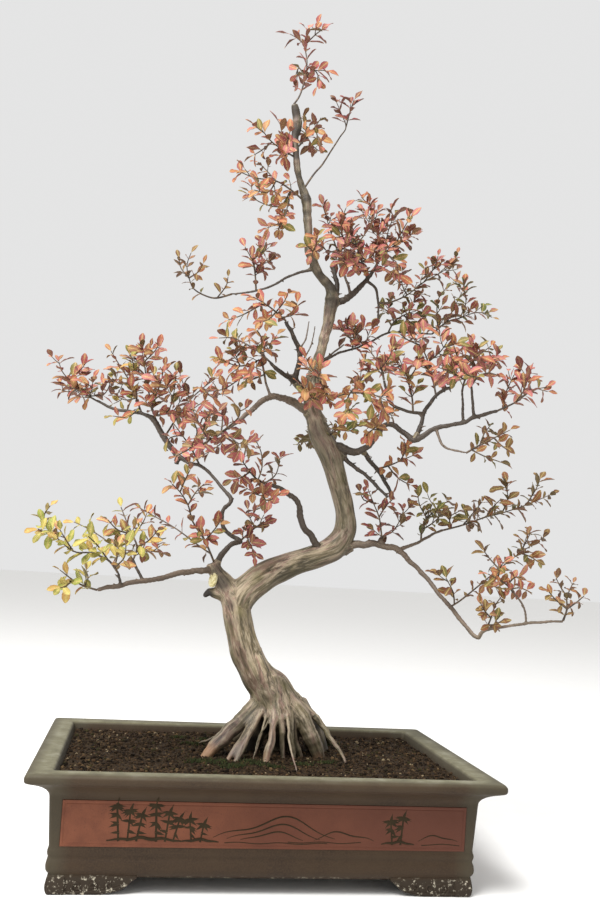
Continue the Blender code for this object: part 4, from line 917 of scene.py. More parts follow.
# Wood fills the gaps behind the roots on both sides, and spots of painted shade darken it
ROOT_CORES = ("268 700 12 13, 256 728 20 14, 246 756 26 13",
              "296 704 14 14, 310 728 24 14, 320 756 30 12")
BRANCHES = (
    ("upper trunk",
     "236 640 -1 9, 236 624 -4 13.5, 237 608 -6 16.6, 243 594 -6 19, 257 582 -4 18.6, 274 571 0 16.5, "
     "297 562 6 14.8, 320 555 12 15, 336 546 18 15.4, 345 531 18 13.8, 345 512 12 12.5, 341 493 8 12.6, "
     "336 474 4 13, 330 455 0 14.6, 321 435 -2 14, 314 417 -4 12, 312 398 -4 11.6, 312.5 380 -2 9.6, "
     "316 365 0 7.2, 322 347 3 6.4, 326 330 6 7.2, 329 314 8 8.6, 332 299 8 9.6, 329 285 6 6.4, "
     "318 271 2 6.1, 309 251 -2 6, 308 226 -4 5.8, 306 200 -2 6.6, 300 179 0 4.3, 297 160 2 4.8, "
     "295 142 3 5.2, 297 128 3 6.8, 296 114 2 5.6, 294 104 0 4.6"),
    ("level branch", "218 570 -11 5, 184 572 -32 3.8, 154 579 -57 3.4, 120 585 -82 3, 97 590 -97 2.4"),
    ("level stub one", "121 585 -82 2, 118 573 -88 1.6"),
    ("level stub two", "143 581 -66 2.4, 138 570 -64 2, 133 560 -61 1.7"),
    ("zigzag",
     "214 568 -11 5, 223 553 -8 3.8, 230 545 -4 3.5, 240 541 0 3.2, 225 530 4 3, 223 512 8 2.8, "
     "231 499 12 3, 222 487 21 2.4, 211 474 32 2.4, 200 466 39 2.6, 189 463 50 3, 178 456 61 4, "
     "165 439 68 4.2, 155 421 72 4, 142 414 79 2.8, 116 409 90 2.4, 97 401 97 1.9"),
    ("low stub", "179 455 61 4, 176 464 57 3.4"),
    ("arch",
     "312 416 -4 6.5, 303 409 -8 6, 293 402 -14 5.6, 283 398 -25 4.6, 272 397 -36 4.3, 262 402 -46 3.8, "
     "247 414 -64 3.2, 228 428 -86 2.4"),
    ("arch twig", "270 398 -37 2.2, 266 384 -32 1.8"),
    ("inner riser",
     "324 553 12 7, 316 543 4 5.2, 306 530 -4 4.5, 300 518 -8 4.6, 298 504 -13 4, 285 491 -25 3.3, "
     "270 485 -36 2.6"),
    ("upper right", "331 304 8 6, 348 298 12 4.6, 357 289 14 4, 366 281 18 3.2, 377 264 21 2.2"),
    ("right hanger", "366 281 18 2.4, 375 288 16 2.1, 378 300 14 1.9, 378 314 12 1.6, 377 326 10 1.3"),
    ("dark prong", "333 302 9 5, 337 287 18 3.8, 334 273 32 3.2, 331 266 39 2.4"),
    ("right riser", "351 295 13 2.4, 346 280 28 2.1, 340 266 39 1.8"),
    ("long left",
     "316 268 2 3, 301 272 8 2, 290 276 12 1.9, 267 288 25 1.7, 249 292 36 1.6, 232 294 43 1.4"),
    ("right limb",
     "327 447 -1 9, 339 447 -6 6.4, 353 452 -14 5.2, 367 447 -28 4.4, 378 434 -39 3.8, 388 424 -50 3.7, "
     "402 431 -64 3.7, 415 440 -75 4, 434 429 -86 3.4, 463 423 -97 2.9, 474 417 -100 2.8, "
     "497 411 -108 2.3"),
    ("right limb stub",
     "415 440 -75 3.6, 422 420 -68 2.8, 426 409 -64 2.7, 437 395 -57 2.6, 453 386 -46 2.2"),
    ("right limb hook",
     "424 414 -66 2.4, 411 412 -72 2.3, 398 408 -79 2.3, 389 400 -84 2.2, 384 380 -86 1.6"),
    ("right upright one", "463 423 -97 2.2, 463 407 -93 1.9, 462 392 -90 1.5"),
    ("right upright two", "474 417 -100 2.4, 473 402 -108 2, 471 386 -111 1.6"),
    ("right low curve", "436 429 -86 2.2, 442 444 -100 1.8, 452 450 -111 1.6, 466 453 -118 1.3"),
    ("dead pair one", "341 453 -4 4, 352 465 -10 2.9, 366 476 -18 2.6, 388 497 -36 2"),
    ("dead pair two", "361 449 -21 4, 371 462 -8 3.1, 380 473 -3 3, 394 499 6 2.2"),
    ("right pair",
     "320 365 1 3.2, 336 354 14 1.9, 350 350 32 1.8, 367 344 46 1.8, 388 333 61 1.7, 412 333 64 1.6, "
     "432 334 68 1.5"),
    ("right pair short", "323 361 3 2.4, 333 353 4 1.6, 344 344 6 1.2"),
    ("old stub",
     "310 395 -5 5.4, 300 385 -13 4.4, 295 377 -21 4, 299 362 -25 3.8, 298 347 -28 3.5, 286 321 -36 2.5"),
    ("mossy stub", "299 386 -12 4.4, 290 379 -25 3.6, 281 373 -36 3.2, 270 362 -46 2.2"),
    ("fine twig one", "298 352 -28 1.6, 306 338 -18 1.3, 309 321 -14 1"),
    ("fine twig two", "301 364 -23 1.5, 311 345 -12 1.2, 315 326 -10 1"),
    ("low limb",
     "345 547 18 8.6, 360 545 13 5.4, 374 543 9 4.8, 386 546 5 4.6, 398 551 0 4.2, 420 571 -14 3.2, "
     "446 602 -46 2.9, 475 637 -82 2.7, 486 630 -91 2.4, 525 624 -111 2, 563 621 -133 1.6"),
    ("low limb twig", "526 624 -111 1.8, 524 608 -106 1.5, 513 592 -100 1.3"),
    ("low limb upper", "396 551 0 3.2, 418 542 10 2.2, 436 533 21 1.9, 444 530 27 1.6"),
    ("knob", "379 545 7 4, 382 540 6 3.4"),
    ("side knob", "232 597 -7 9, 217 594 -9 6.4, 209 592 -10 4.6, 204 597 -11 2.4"),
)
ROOTS = (
    ("left thick root",
     "270 682 6 7, 261 700 3 11, 246 716 -5 11, 233 728 -12 10, 220 740 -19 8.8, 210 751 -25 7.2, "
     "204 758 -28 5.6"),
    ("left side root", "224 735 -16 4, 212 739 14 2.2, 203 742 36 1.7, 196 745 56 1.3"),
    ("root three", "262 702 0 5, 248 729 -22 4.4, 238 745 -36 4, 226 763 -47 3"),
    ("root four", "264 706 -2 5, 249 735 -32 4.2, 241 750 -42 4.4, 235 764 -52 3.4"),
    ("thin root", "270 706 -6 3, 262 730 -24 1.7, 258 746 -26 1.4, 252 760 -28 1.2"),
    ("pale strand", "274 704 -6 2.6, 267 724 -27 1.4, 259 736 -36 1.1, 255 752 -46 1"),
    ("yellow root",
     "257 656 -9 6, 265 680 -9 8, 272 700 -10 8, 274 717 -19 5.6, 273 728 -29 3.8, 272 737 -34 4.8, "
     "269 749 -40 5.4, 265 762 -46 4.2"),
    ("middle root", "272 676 -7 7, 278 700 -12 7.4, 281 722 -22 4.4, 282 740 -24 3.6, 283 760 -22 3"),
    ("long root", "284 700 -4 4, 288 722 -30 2.2, 289 740 -54 1.7, 292 754 -70 1.5, 296 768 -86 1.2"),
    ("short rib", "278 678 -4 7.5, 285 700 -10 7.6, 289 717 -18 5.8, 292 734 -22 3.6, 294 756 -20 2.8"),
    ("right root", "276 684 2 8, 287 704 -10 8, 292 727 -14 5, 296 744 -14 4.3, 301 759 -12 3.5"),
    ("thick right root",
     "257 650 2 6, 269 674 0 8.5, 284 696 -3 10.6, 300 716 -9 11, 310 736 -13 10, 317 752 -12 8.8, "
     "320 763 -11 6.2"),
    ("outer right root", "276 682 8 7, 294 698 8 9, 309 712 15 6, 320 727 34 4, 329 742 66 3"),
    ("outer thin root", "296 700 4 6, 314 716 0 4.8, 325 730 -8 3.7, 334 743 -26 3, 343 757 -46 2.1"),
    ("back root one", "280 694 12 9, 278 716 44 8.4, 268 736 96 4.4, 262 737 118 2.8"),
    ("back root two", "284 690 12 9, 298 716 48 7.4, 306 736 104 3.8, 310 738 126 2.6"),
    ("back root three", "272 692 10 9, 256 718 38 7.6, 238 738 76 4.4, 228 742 92 3"),
)
ROOT_DIVE = 9
ROOT_SLOPE = -0.9


# %% Smooth routes
def numbers(text):
    """The rows of numbers in a text with a comma after each row."""
    return [tuple(float(number) for number in row.split()) for row in text.split(",")]


def knots_of(text):
    return [(seen_at(across, down, back), radius) for across, down, back, radius in numbers(text)]


def dive(knots):
    """A root's knots with one more, under the soil."""
    run = (knots[-1][0] - knots[-2][0]).normalized()
    run.z = ROOT_SLOPE
    return knots + [(knots[-1][0] + run.normalized() * ROOT_DIVE * MM, knots[-1][1] * 0.75)]


def curve_through(knots, step):
    """Places and radii every step or so along a smooth curve through all knots."""
    ends = [knots[0]] + list(knots) + [knots[-1]]
    route = []
    for (p0, r0), (p1, r1), (p2, r2), (p3, r3) in zip(ends, ends[1:], ends[2:], ends[3:]):
        count = max(1, round((p2 - p1).length / (step * MM)))
        for i in range(count):
            t = i / count
            near = 2 * p1 + (p2 - p0) * t + (2 * p0 - 5 * p1 + 4 * p2 - p3) * t * t
            place = (near + (3 * p1 - p0 - 3 * p2 + p3) * t * t * t) / 2
            ease = t * t * (3 - 2 * t)
            route.append((place, r1 + (r2 - r1) * ease))
    return route + [knots[-1]]


def knotted(route, seed, amount, spacing):
    """Swells a route at its old buds, and makes it uneven and a little crooked between them."""
    swollen = []
    travelled = 0
    for i, (place, radius) in enumerate(route):
        travelled += (place - route[i - 1][0]).length / MM if i else 0
        bud = math.cos(travelled / spacing * 2 * math.pi) ** 8
        uneven = noise.noise(Vector((travelled / spacing * 1.7, seed, 0)))
        drift = noise.noise_vector(Vector((travelled / spacing * 0.9, seed, 7)))
        drift = drift * min(radius, 5) * 3.7 * amount * MM
        swollen.append((place + drift, radius * (1 + amount * (bud + uneven - 0.7))))
    return swollen


def spurs_on(route, draw, pitch, length):
    """Short dead spurs, left where twigs were pruned, along a limb."""
    spurs = []
    gap = draw.uniform(8, pitch + 4)
    for i in range(1, len(route) - 1):
        place, radius = route[i]
        gap -= (place - route[i - 1][0]).length / MM
        if gap > 0 or radius > 5:
            continue
        gap = draw.uniform(0.5, 1.5) * pitch
        along = (route[i + 1][0] - route[i - 1][0]).normalized()
        out = Matrix.Rotation(draw.uniform(0, 6.3), 3, along) @ along.orthogonal().normalized()
        out = (out + along * draw.uniform(0, 0.9)).normalized()
        tip = place + out * (radius + draw.uniform(0.3, 1) * length) * MM
        spurs.append([(place, 1.3), (place.lerp(tip, 0.6), 1.1), (tip, draw.uniform(0.6, 0.9))])
    return spurs


# The distance between a tube's points, in millimetres
LIMB_STEP, ROOT_STEP, TRUNK_STEP = 2, 3, 4
# How much each kind of wood swells at its old buds, and the distance between these, in millimetres
TRUNK_BUDS, LIMB_BUDS, ROOT_BUDS, THIN_ROOT_BUDS = (0.12, 27), (0.14, 12), (0.08, 15), (0.12, 11)
# Routes that are fused with the trunk, and how many of their first points stay smooth
CALM_POINTS = {"upper trunk": 90, "side knob": 14}
# Spurs: the distance between them and their length, in millimetres, on living limbs and on dead ones
LIVING_SPURS, DEAD_SPURS = (55, 3.5), (9, 7)
COLLAR_LENGTH = 9
THINNEST_WITH_COLLAR = 3
THINNEST_FUSED_ROOT = 2.7
# Dead wood is nearly black: the limbs named with these words. Shaded limbs are painted dusky. Spots darken
# the trunk: high up, where its bark is dark and mossy and shaded by the sprays, and as painted shade between
# the roots and down the right side of the upper trunk. A spot's row gives its place in the view, its reach in
# millimetres and its strength
DEAD_WORDS = ("stub", "dead", "dark", "prong")
DEAD, DUSKY = 0.8, 0.66
DUSKY_LIMBS = ("zigzag", "inner riser", "upper right", "right hanger", "right limb", "right limb hook",
               "right upright one", "right upright two", "right pair", "right pair short", "long left")
# Root tips that were scraped bare show the warm inner bark
WARM_SPOTS = numbers("204 758 -30 22 0.6, 319 762 -22 13 0.25, 266 760 -46 13 0.25, 226 763 -48 12 0.2")
DARK_AND_SHADE_SPOTS = numbers(
    "206 594 -10 13 1, 222 582 -22 15 0.75, 312 392 -14 12 0.6, 334 285 0 14 0.85, 294 112 0 12 0.8, "
    "332 302 0 13 0.7, 297 155 0 9 0.75, 307 198 -8 8 0.75, 305 240 -9 7 0.7, 324 325 -4 9 0.5, "
    "316 352 -6 8 0.6, 322 275 -2 8 0.6, 316 724 18 11 1, 355 528 16 13 0.45, 354 506 10 14 0.7, "
    "352 484 8 14 0.65, 348 462 4 14 0.6, 337 440 -2 13 0.4, 300 176 0 8 0.6, 306 214 -4 8 0.6, "
    "296 134 0 13 0.85, 303 192 0 8 0.5, 330 312 4 9 0.5, 313 262 0 8 0.6, 318 340 -4 8 0.5, "
    "318 430 -14 12 0.4, 254 744 12 17 1, 266 728 4 14 1, 278 740 8 16 1, 292 742 8 14 1, "
    "308 738 16 15 1, 262 758 12 18 1, 326 744 26 13 0.8, 228 604 -24 10 0.5, 229 624 -22 9 0.35, "
    "234 646 -22 9 0.35, 228 596 -26 9 0.5, 218 570 -18 10 0.6")
spur_draw = random.Random(5)
thick = [curve_through(knots_of(core), TRUNK_STEP) for core in (TRUNK, *ROOT_CORES)]
thin = []
dark_thin = {}
for name, text in BRANCHES:
    knots = knots_of(text)
    if name in CALM_POINTS:
        smooth = curve_through(knots, TRUNK_STEP)
        calm = CALM_POINTS[name]
        thick.append(smooth[:calm] + knotted(smooth, 3, *TRUNK_BUDS)[calm:])
        continue
    route = curve_through(knots, LIMB_STEP)
    dead = any(word in name for word in DEAD_WORDS)
    if dead or name in DUSKY_LIMBS:
        dark_thin[len(thin)] = DEAD if dead else DUSKY
    thin.append(knotted(route, len(thin), *LIMB_BUDS))
    thin += spurs_on(thin[-1], spur_draw, *(DEAD_SPURS if dead else LIVING_SPURS))
    # The collar: a short swollen stub of the limb, fused with what it leaves
    if knots[0][1] >= THINNEST_WITH_COLLAR:
        reach = next((i for i, (place, _) in enumerate(route)
                      if (place - route[0][0]).length > COLLAR_LENGTH * MM), 1)
        thick.append([(place, radius * (1.35 - 0.3 * i / reach)) for i, (place, radius) in
                      enumerate(route[:reach + 1])])
for name, text in ROOTS:
    knots = dive(knots_of(text))
    if knots[-2][1] < THINNEST_FUSED_ROOT:
        thin.append(knotted(curve_through(knots, LIMB_STEP), len(thin), *THIN_ROOT_BUDS))
        thick.append(curve_through(knots[:2], ROOT_STEP))
    else:
        thick.append(knotted(curve_through(knots, ROOT_STEP), len(thick), *ROOT_BUDS))
print(len(thick), "thick tubes and", len(thin), "thin ones")


# %% Fuse tubes and measure the grain
def fuse(name, routes, sides, voxel, passes):
    wood = curve_mesh(name, routes, MM, sides)
    press = wood.modifiers.new("Press together", "REMESH")
    press.mode = "VOXEL"
    press.voxel_size = voxel * MM
    rub = wood.modifiers.new("Rub smooth", "SMOOTH")
    rub.factor = 0.5
    rub.iterations = passes
    return apply_modifiers(wood)


def frames_along(routes, dark_routes):
    """For each point of the routes: place, two crosswise axes, distance travelled, radius and darkness."""
    rows = []
    for number, route in enumerate(routes):
        travelled = rows[-1][3] + 60 if rows else 0
        side = None
        for i, (place, radius) in enumerate(route):
            ahead, behind = route[min(i + 1, len(route) - 1)][0], route[max(i - 1, 0)][0]
            along = (ahead - behind).normalized()
            side = along.orthogonal() if side is None else side - along * side.dot(along)
            side.normalize()
            travelled += (place - behind).length / MM if i else 0
            dark = dark_routes.get(number, 0)
            rows.append((place.copy(), side.copy(), along.cross(side), travelled, radius, dark))
    return rows


def read(wood, field):
    values = np.empty(len(wood.data.vertices) * 3)
    wood.data.vertices.foreach_get(field, values)
    return values.reshape(-1, 3)


def edges_of(wood):
    edges = np.empty(len(wood.data.edges) * 2, int)
    wood.data.edges.foreach_get("vertices", edges)
    return edges.reshape(-1, 2), np.bincount(edges, minlength=len(wood.data.vertices))[:, None]


def fill_creases(wood, passes):
    """Moves points that lie in a crease outwards, as growing bark closes the angle between two limbs."""
    ends, degree = edges_of(wood)
    points = read(wood, "co")
    for i in range(passes):
        if i % 8 == 0:
            wood.data.vertices.foreach_set("co", points.ravel())
            wood.data.update()
            normals = read(wood, "normal")
        rise = ((spread(points, ends, degree) - points) * normals).sum(axis=1, keepdims=True)
        points = points + normals * np.maximum(0, rise) * 1.6
    wood.data.vertices.foreach_set("co", points.ravel())
    wood.data.update()


def grain_of(wood, routes, dark_routes):
    """Each point's place in its limb, as if the limb were straight: across, across, along, and its radius."""
    rows = frames_along(routes, dark_routes)
    places, sides, ups = (np.array([row[i] for row in rows]) for i in range(3))
    travelled = np.array([row[3] for row in rows])
    radii = np.array([row[4] for row in rows])
    darks = np.array([row[5] for row in rows], float)
    count = len(wood.data.vertices)
    points = read(wood, "co")
    nearest = np.empty(count, int)
    for start in range(0, count, 4096):
        part = points[start:start + 4096]
        gaps = np.linalg.norm(part[:, None] - places[None], axis=2) / (radii * MM + 0.001)
        nearest[start:start + 4096] = gaps.argmin(axis=1)
    away = (points - places[nearest]) / MM
    side, up = sides[nearest], ups[nearest]
    ahead = (away * np.cross(side, up)).sum(1)
    grain = np.stack([(away * side).sum(1), (away * up).sum(1), travelled[nearest] + ahead], axis=1)
    ends, degree = edges_of(wood)
    girth_and_dark = np.stack([radii[nearest], darks[nearest]], axis=1)
    for _ in range(8):
        girth_and_dark = spread(girth_and_dark, ends, degree)
    return points, grain, girth_and_dark[:, 0], girth_and_dark[:, 1]


def spread(values, ends, degree):
    """Each point's value moved halfway to the mean of its neighbours'."""
    count = len(values)
    total = np.stack([np.bincount(ends[:, 0], column[ends[:, 1]], count)
                      + np.bincount(ends[:, 1], column[ends[:, 0]], count) for column in values.T], axis=1)
    return (values + total / np.maximum(degree, 1)) / 2


def below_surroundings(points, normals, ends, degree, passes):
    """How far each point lies below what surrounds it, in millimetres."""
    smooth = points
    for _ in range(passes):
        smooth = spread(smooth, ends, degree)
    return ((smooth - points) * normals).sum(axis=1) / MM


def near_spots(points, spots):
    """How strongly each point belongs to one of the spots."""
    shares = np.zeros(len(points))
    for across, down, back, reach, amount in spots:
        away = np.linalg.norm(points - np.array(seen_at(across, down, back)), axis=1) / (reach * MM)
        shares = np.maximum(shares, amount * np.clip(2 - 2 * away, 0, 1))
    return shares


# Ridges repeat at these sizes, across and along the limb, in millimetres. The broad ones are as many on a
# thick limb as on a thin one, so theirs is counted in a radius
BROAD_IN_RADIUS, BROAD_LENGTH = 1.5, 55
MIDDLE_RIDGES, FINE_RIDGES = (6.5, 62), (3.2, 44)
# Streaks that are shifted against each other don't end in rows
SHIFT, SHIFTING = 20, (4.5, 60)
LUMP_SIZE, LUMP_SHARE = 22, 0.08
FORM_PASSES, HOLLOW_PASSES, NEIGHBOUR_PASSES = 14, 16, 40
NEIGHBOUR_SHARE = 0.85


def streaks_at(x, y, along, size, start):
    return noise.noise(Vector((x / size[0], y / size[0], along / size[1])) + Vector(start))


def raise_ridges(wood, routes, dark_routes, share, ripple, stout):
    """Raises long ridges along the grain and stores the grain, the girth and the hollows for the bark.

    The girth is multiplied by stout, so that the thin top of the trunk still has a trunk's bark."""
    points, grain, girth, dark = grain_of(wood, routes, dark_routes)
    ends, degree = edges_of(wood)
    forms, heights = np.empty((2, len(points), 1))
    for i, ((x, y, along), radius) in enumerate(zip(grain, girth)):
        along += SHIFT * streaks_at(x, y, along, SHIFTING, (1, 5, 9))
        grain[i, 2] = along
        broad = noise.noise(Vector((x / radius * BROAD_IN_RADIUS, y / radius * BROAD_IN_RADIUS,
                                    along / BROAD_LENGTH)))
        middle = streaks_at(x, y, along, MIDDLE_RIDGES, (3, 8, 5))
        fine = streaks_at(x, y, along, FINE_RIDGES, (9, 4, 2))
        lumps = noise.noise(Vector(points[i]) / (LUMP_SIZE * MM))
        forms[i] = radius * (share * broad + LUMP_SHARE * lumps)
        heights[i] = ripple * (fine + 1.2 * middle) * min(1, radius / 8)
    for _ in range(FORM_PASSES):
        forms = spread(forms, ends, degree)
    points = points + read(wood, "normal") * (forms + spread(heights, ends, degree)) * MM
    wood.data.vertices.foreach_set("co", points.ravel())
    wood.data.update()
    hollow = below_surroundings(points, read(wood, "normal"), ends, degree, HOLLOW_PASSES)
    # A thin limb is all crest, so only what differs from its neighbourhood counts
    around = hollow[:, None]
    for _ in range(NEIGHBOUR_PASSES):
        around = spread(around, ends, degree)
    hollow = hollow - NEIGHBOUR_SHARE * around[:, 0]
    store(wood, "hollow", "FLOAT", hollow * MM)
    store(wood, "grain", "FLOAT_VECTOR", grain * MM)
    store(wood, "girth", "FLOAT", girth * stout * MM)
    store(wood, "dark", "FLOAT", np.maximum(dark, near_spots(points, DARK_AND_SHADE_SPOTS)))
    store(wood, "warm", "FLOAT", near_spots(points, WARM_SPOTS))
    wood.data.update()


trunk = fuse("trunk_and_roots", thick, sides=16, voxel=1.45, passes=6)
fill_creases(trunk, passes=48)
raise_ridges(trunk, thick, {}, share=0.11, ripple=0.38, stout=2.2)
limbs = fuse("limbs", thin, sides=8, voxel=1.05, passes=2)
fill_creases(limbs, passes=10)
raise_ridges(limbs, thin, dark_thin, share=0.08, ripple=0.25, stout=1)
print("trunk", triangle_count(trunk), "limbs", triangle_count(limbs))

# %% [markdown]
# ### Bark
#
# Crepe myrtle bark is thin and smooth, and peels in flakes that leave a map of tan, olive and pinkish grey.
# The pattern must run along each limb, so it reads the grain that was stored on the wood, stretched along
# the limb. Thin twigs are darker and redder than the trunk, which the stored girth tells the material.

# %% Smooth flaking bark
bark = Finish("Smooth flaking bark", "A08F76", 0.62)
coords = bark.place()
along_limb = {"Vector": bark.stored("grain", "Vector"), "Scale": (1, 1, 0.18)}
stretched = bark.add("Mapping", along_limb).outputs["Vector"]
flakes = bark.clouds(stretched, 11, 5, Roughness=0.66, Distortion=0.5)
patches = bark.ramp(flakes, (0.3, "352D1D"), (0.38, "584D34"), (0.45, "8B7C5F"), (0.52, "B6A489"),
                    (0.58, "A28071"), (0.65, "77624A"), (0.74, "433A26"))
streaks = bark.clouds(stretched, 3.4, 5, Roughness=0.72)
lined = bark.blend(bark.ramp(streaks, (0.36, 0.85), (0.48, 0.0)), patches, "3A3022")
pale = bark.blend(bark.ramp(streaks, (0.53, 0.0), (0.63, 0.8)), lined, "C9B99E")
# Green algae grow on the bark in patches
mossy = bark.blend(bark.ramp(bark.clouds(coords, 26, 4), (0.52, 0.0), (0.68, 0.5)), pale, "6E6636")
# Bark darkens in waves, above the bend as a whole and near the soil. The hollows are painted darker, as
# painted shade, and the crests paler, as a painted highlight
waves = bark.ramp(bark.clouds(coords, 75, 2), (0.38, 0.62), (0.6, 1.0))
waved = bark.blend(1.0, mossy, waves, "MULTIPLY")
level = bark.parts(coords)["Z"]
level_tone = bark.ramp(level, (0.12, 0.46), (0.165, 0.6), (0.21, 0.94), (0.28, 1.0), (0.35, 0.72),
                       (0.46, 0.8), (0.6, 0.7), (0.72, 0.47), (0.95, 0.38))
toned_by_height = bark.blend(1.0, waved, level_tone, "MULTIPLY")
hollow = bark.stored("hollow")
crest_highlight = bark.blend(bark.between(hollow, -0.00008, -0.0005, 0.3), toned_by_height, "AC9C80")
hollow_shade = bark.blend(bark.between(hollow, 0.00004, 0.00055, 0.88), crest_highlight, "231B12")
# Faces that look down are painted darker and olive: painted shade
shaded = bark.blend(bark.between(bark.facing(), 0.12, -0.6, 0.62), hollow_shade, "3F3823")
# A twig above the roots has a skin of its own, bare root tips are tanned, and dead wood is nearly black. The
# shaded limbs and the spots are darkened with the same paint, much of it painted shade
thin_share = bark.maths("MULTIPLY", bark.between(level, 0.22, 0.3),
                        bark.between(bark.stored("girth"), 0.009, 0.0042))
twig = bark.blend(streaks, "2F261E", "7A6857")
tanned = bark.blend(bark.stored("warm"), shaded, "8F6440")
bark.paint(bark.blend(bark.stored("dark"), bark.blend(thin_share, tanned, twig), "241D15"))
bark.bump(bark.maths("ADD", streaks, flakes), 0.5, 0.5)
for wood in (trunk, limbs):
    bark.put_on(wood)
    only(wood)
    bpy.ops.object.shade_smooth()
finish_piece(trunk, "bark", "tree_wood")
finish_piece(limbs, "bark")

# %% [markdown]
# ### The pruning scar
#
# Low on the left, where a big branch was sawn off, the cut has healed to a pale oval with a rolled lip. It
# could be pressed into the fused wood, but it is sharper than the remesh can hold. So the scar is a flat
# disc, bevelled and inset, with its lip pushed out. The dark knob under it is one of the fused tubes.

# %% The pruning scar
SCAR_PLACE = (213, 580, -18)
SCAR_RADIUS = 7
scar_at = seen_at(*SCAR_PLACE)
bpy.ops.mesh.primitive_cylinder_add(vertices=20, radius=SCAR_RADIUS * MM, depth=3.4 * MM)
scar = bpy.context.object
scar.scale = (0.8, 1.25, 1)
bpy.ops.object.transform_apply(scale=True)
bpy.ops.object.mode_set(mode="EDIT")
pick(scar, faces=lambda face: face.normal.z > 0.9)
bpy.ops.mesh.inset(thickness=1.1 * MM, depth=0.4 * MM)
bpy.ops.mesh.inset(thickness=0.7 * MM, depth=-0.9 * MM)
bpy.ops.object.mode_set(mode="OBJECT")
soft = scar.modifiers.new("Soft", "BEVEL")
soft.width = 0.4 * MM
soft.segments = 2
apply_modifiers(scar)
scar.rotation_euler = Vector((-0.72, -0.66, 0.2)).to_track_quat("Z", "Y").to_euler()
scar.location = scar_at
scar.name = scar.data.name = "pruning_scar"
healed = Finish("Healed cut wood", "C9BE8E", 0.6)
healed.paint(healed.ramp(healed.clouds(healed.place(), 3, 4),
                         (0.35, "A0935E"), (0.5, "CFC494"), (0.7, "DED6B4")))
healed.put_on(scar)
shade_smooth(scar, 50)
finish_piece(scar, "bark")

# %% [markdown]
# ### Moss at the roots
#
# Moss has crept over the damp soil in front of the roots and at their left side. A cushion of it is a crowd
# of tiny upright shoots, so a six-sided cone is modelled once and copied by the hundred, thickest at the
# middle of each cushion.

# %% Moss cushions
# Each cushion: where its middle is seen on the soil, its half length and half width in mm, and its shoots
CUSHIONS = ((196, 763, 13, 8, 90), (214, 764, 15, 12, 210), (232, 768, 15, 9, 200), (252, 765, 13, 10, 210),
            (270, 768, 12, 6, 120), (208, 742, 16, 12, 190), (228, 738, 14, 12, 150), (192, 746, 13, 7, 90),
            (324, 746, 14, 10, 130), (302, 767, 12, 6, 70), (326, 765, 12, 6, 80), (180, 738, 10, 6, 50))
MOSS_SHADES = ("2E361B", "242B14", "3B4424", "333A1E", "282D15", "4A4524", "33291A")
MOSS_LEVEL = 113.5
moss_draw = random.Random(23)
bpy.ops.mesh.primitive_cone_add(vertices=6, radius1=0.5 * MM, radius2=0.12 * MM, depth=MM)
shoot = bpy.context.object
shoot.data.transform(Matrix.Translation((0, 0, 0.4 * MM)))
rows = []
for across, down, half_x, half_y, count in CUSHIONS:
    middle = seen_on_level(across, down, MOSS_LEVEL) - MIDDLE
    for _ in range(count):
        spot = Vector((moss_draw.gauss(0, 0.5) * half_x, moss_draw.gauss(0, 0.5) * half_y)) * MM
        x, y = middle.x + spot.x, middle.y + spot.y
        if abs(y) > soil_half.y - 2 * MM:
            continue
        size = moss_draw.uniform(1.2, 2.4)
        tilt = Matrix.Rotation(moss_draw.uniform(-0.6, 0.6), 4, "X")
        tilt = tilt @ Matrix.Rotation(moss_draw.uniform(-0.6, 0.6), 4, "Y")
        tall = Matrix.Diagonal((size, size, size * moss_draw.uniform(0.9, 2), 1))
        place = Matrix.Translation(MIDDLE + Vector((x, y, lumpy_height(x, y) + 0.6 * MM))) @ tilt @ tall
        rows.append((0, place, moss_draw.choice(MOSS_SHADES), moss_draw.random()))
moss_green = Finish("Cushion moss", "33401C", 0.9, Specular_IOR_Level=0.15)
damp = moss_green.clouds(moss_green.place(), 4, 3)
moss_green.paint(moss_green.blend(damp, moss_green.stored("tint", "Color"), "1C200E"))
moss = many_copies("moss_cushions", (shoot,), rows, moss_green)
bpy.data.objects.remove(shoot)
finish_piece(moss, "soil")

# %% [markdown]
# ## Leaves
#
# Crepe myrtle leaves are elliptic, pointed, a little folded along the midrib, and stand in pairs along
# green-brown shoots. Fifty sprays hold about three thousand leaves. Four blades are modelled from a small
# grid each, one flat, one folded, one drooping and one twisted, and thickened. Each leaf is a copy of one,
# set on its shoot at a lean and a size of its own.

# %% Four leaf blades
LEAF_LENGTH = 25
LEAF_WIDTH = 12.6
BLADE_THICKNESS = 0.35
# Where along a blade its rows of points lie: the stalk, the wedge-shaped base, the broad part, the tip
BLADE_ROWS = (0, 0.075, 0.25, 0.5, 0.74, 0.92, 1)
# Each blade: fold along the midrib, droop of the tip, wave of the margin and twist, in shares of its size
BLADES = ((0.12, 0.1, 0.02, 0.1), (0.3, 0.16, 0.03, -0.15), (0.18, 0.34, 0.025, 0.2), (0.1, 0.2, 0.05, 0.5))


def blade_half_width(share):
    """The half width at a share of the length: a short stalk, then a blade broadest past its middle."""
    if share < 0.08:
        return 0.07
    along = (share - 0.07) / 0.93
    return max(0.03, math.sin(math.pi * along ** 1.2) ** 0.72)


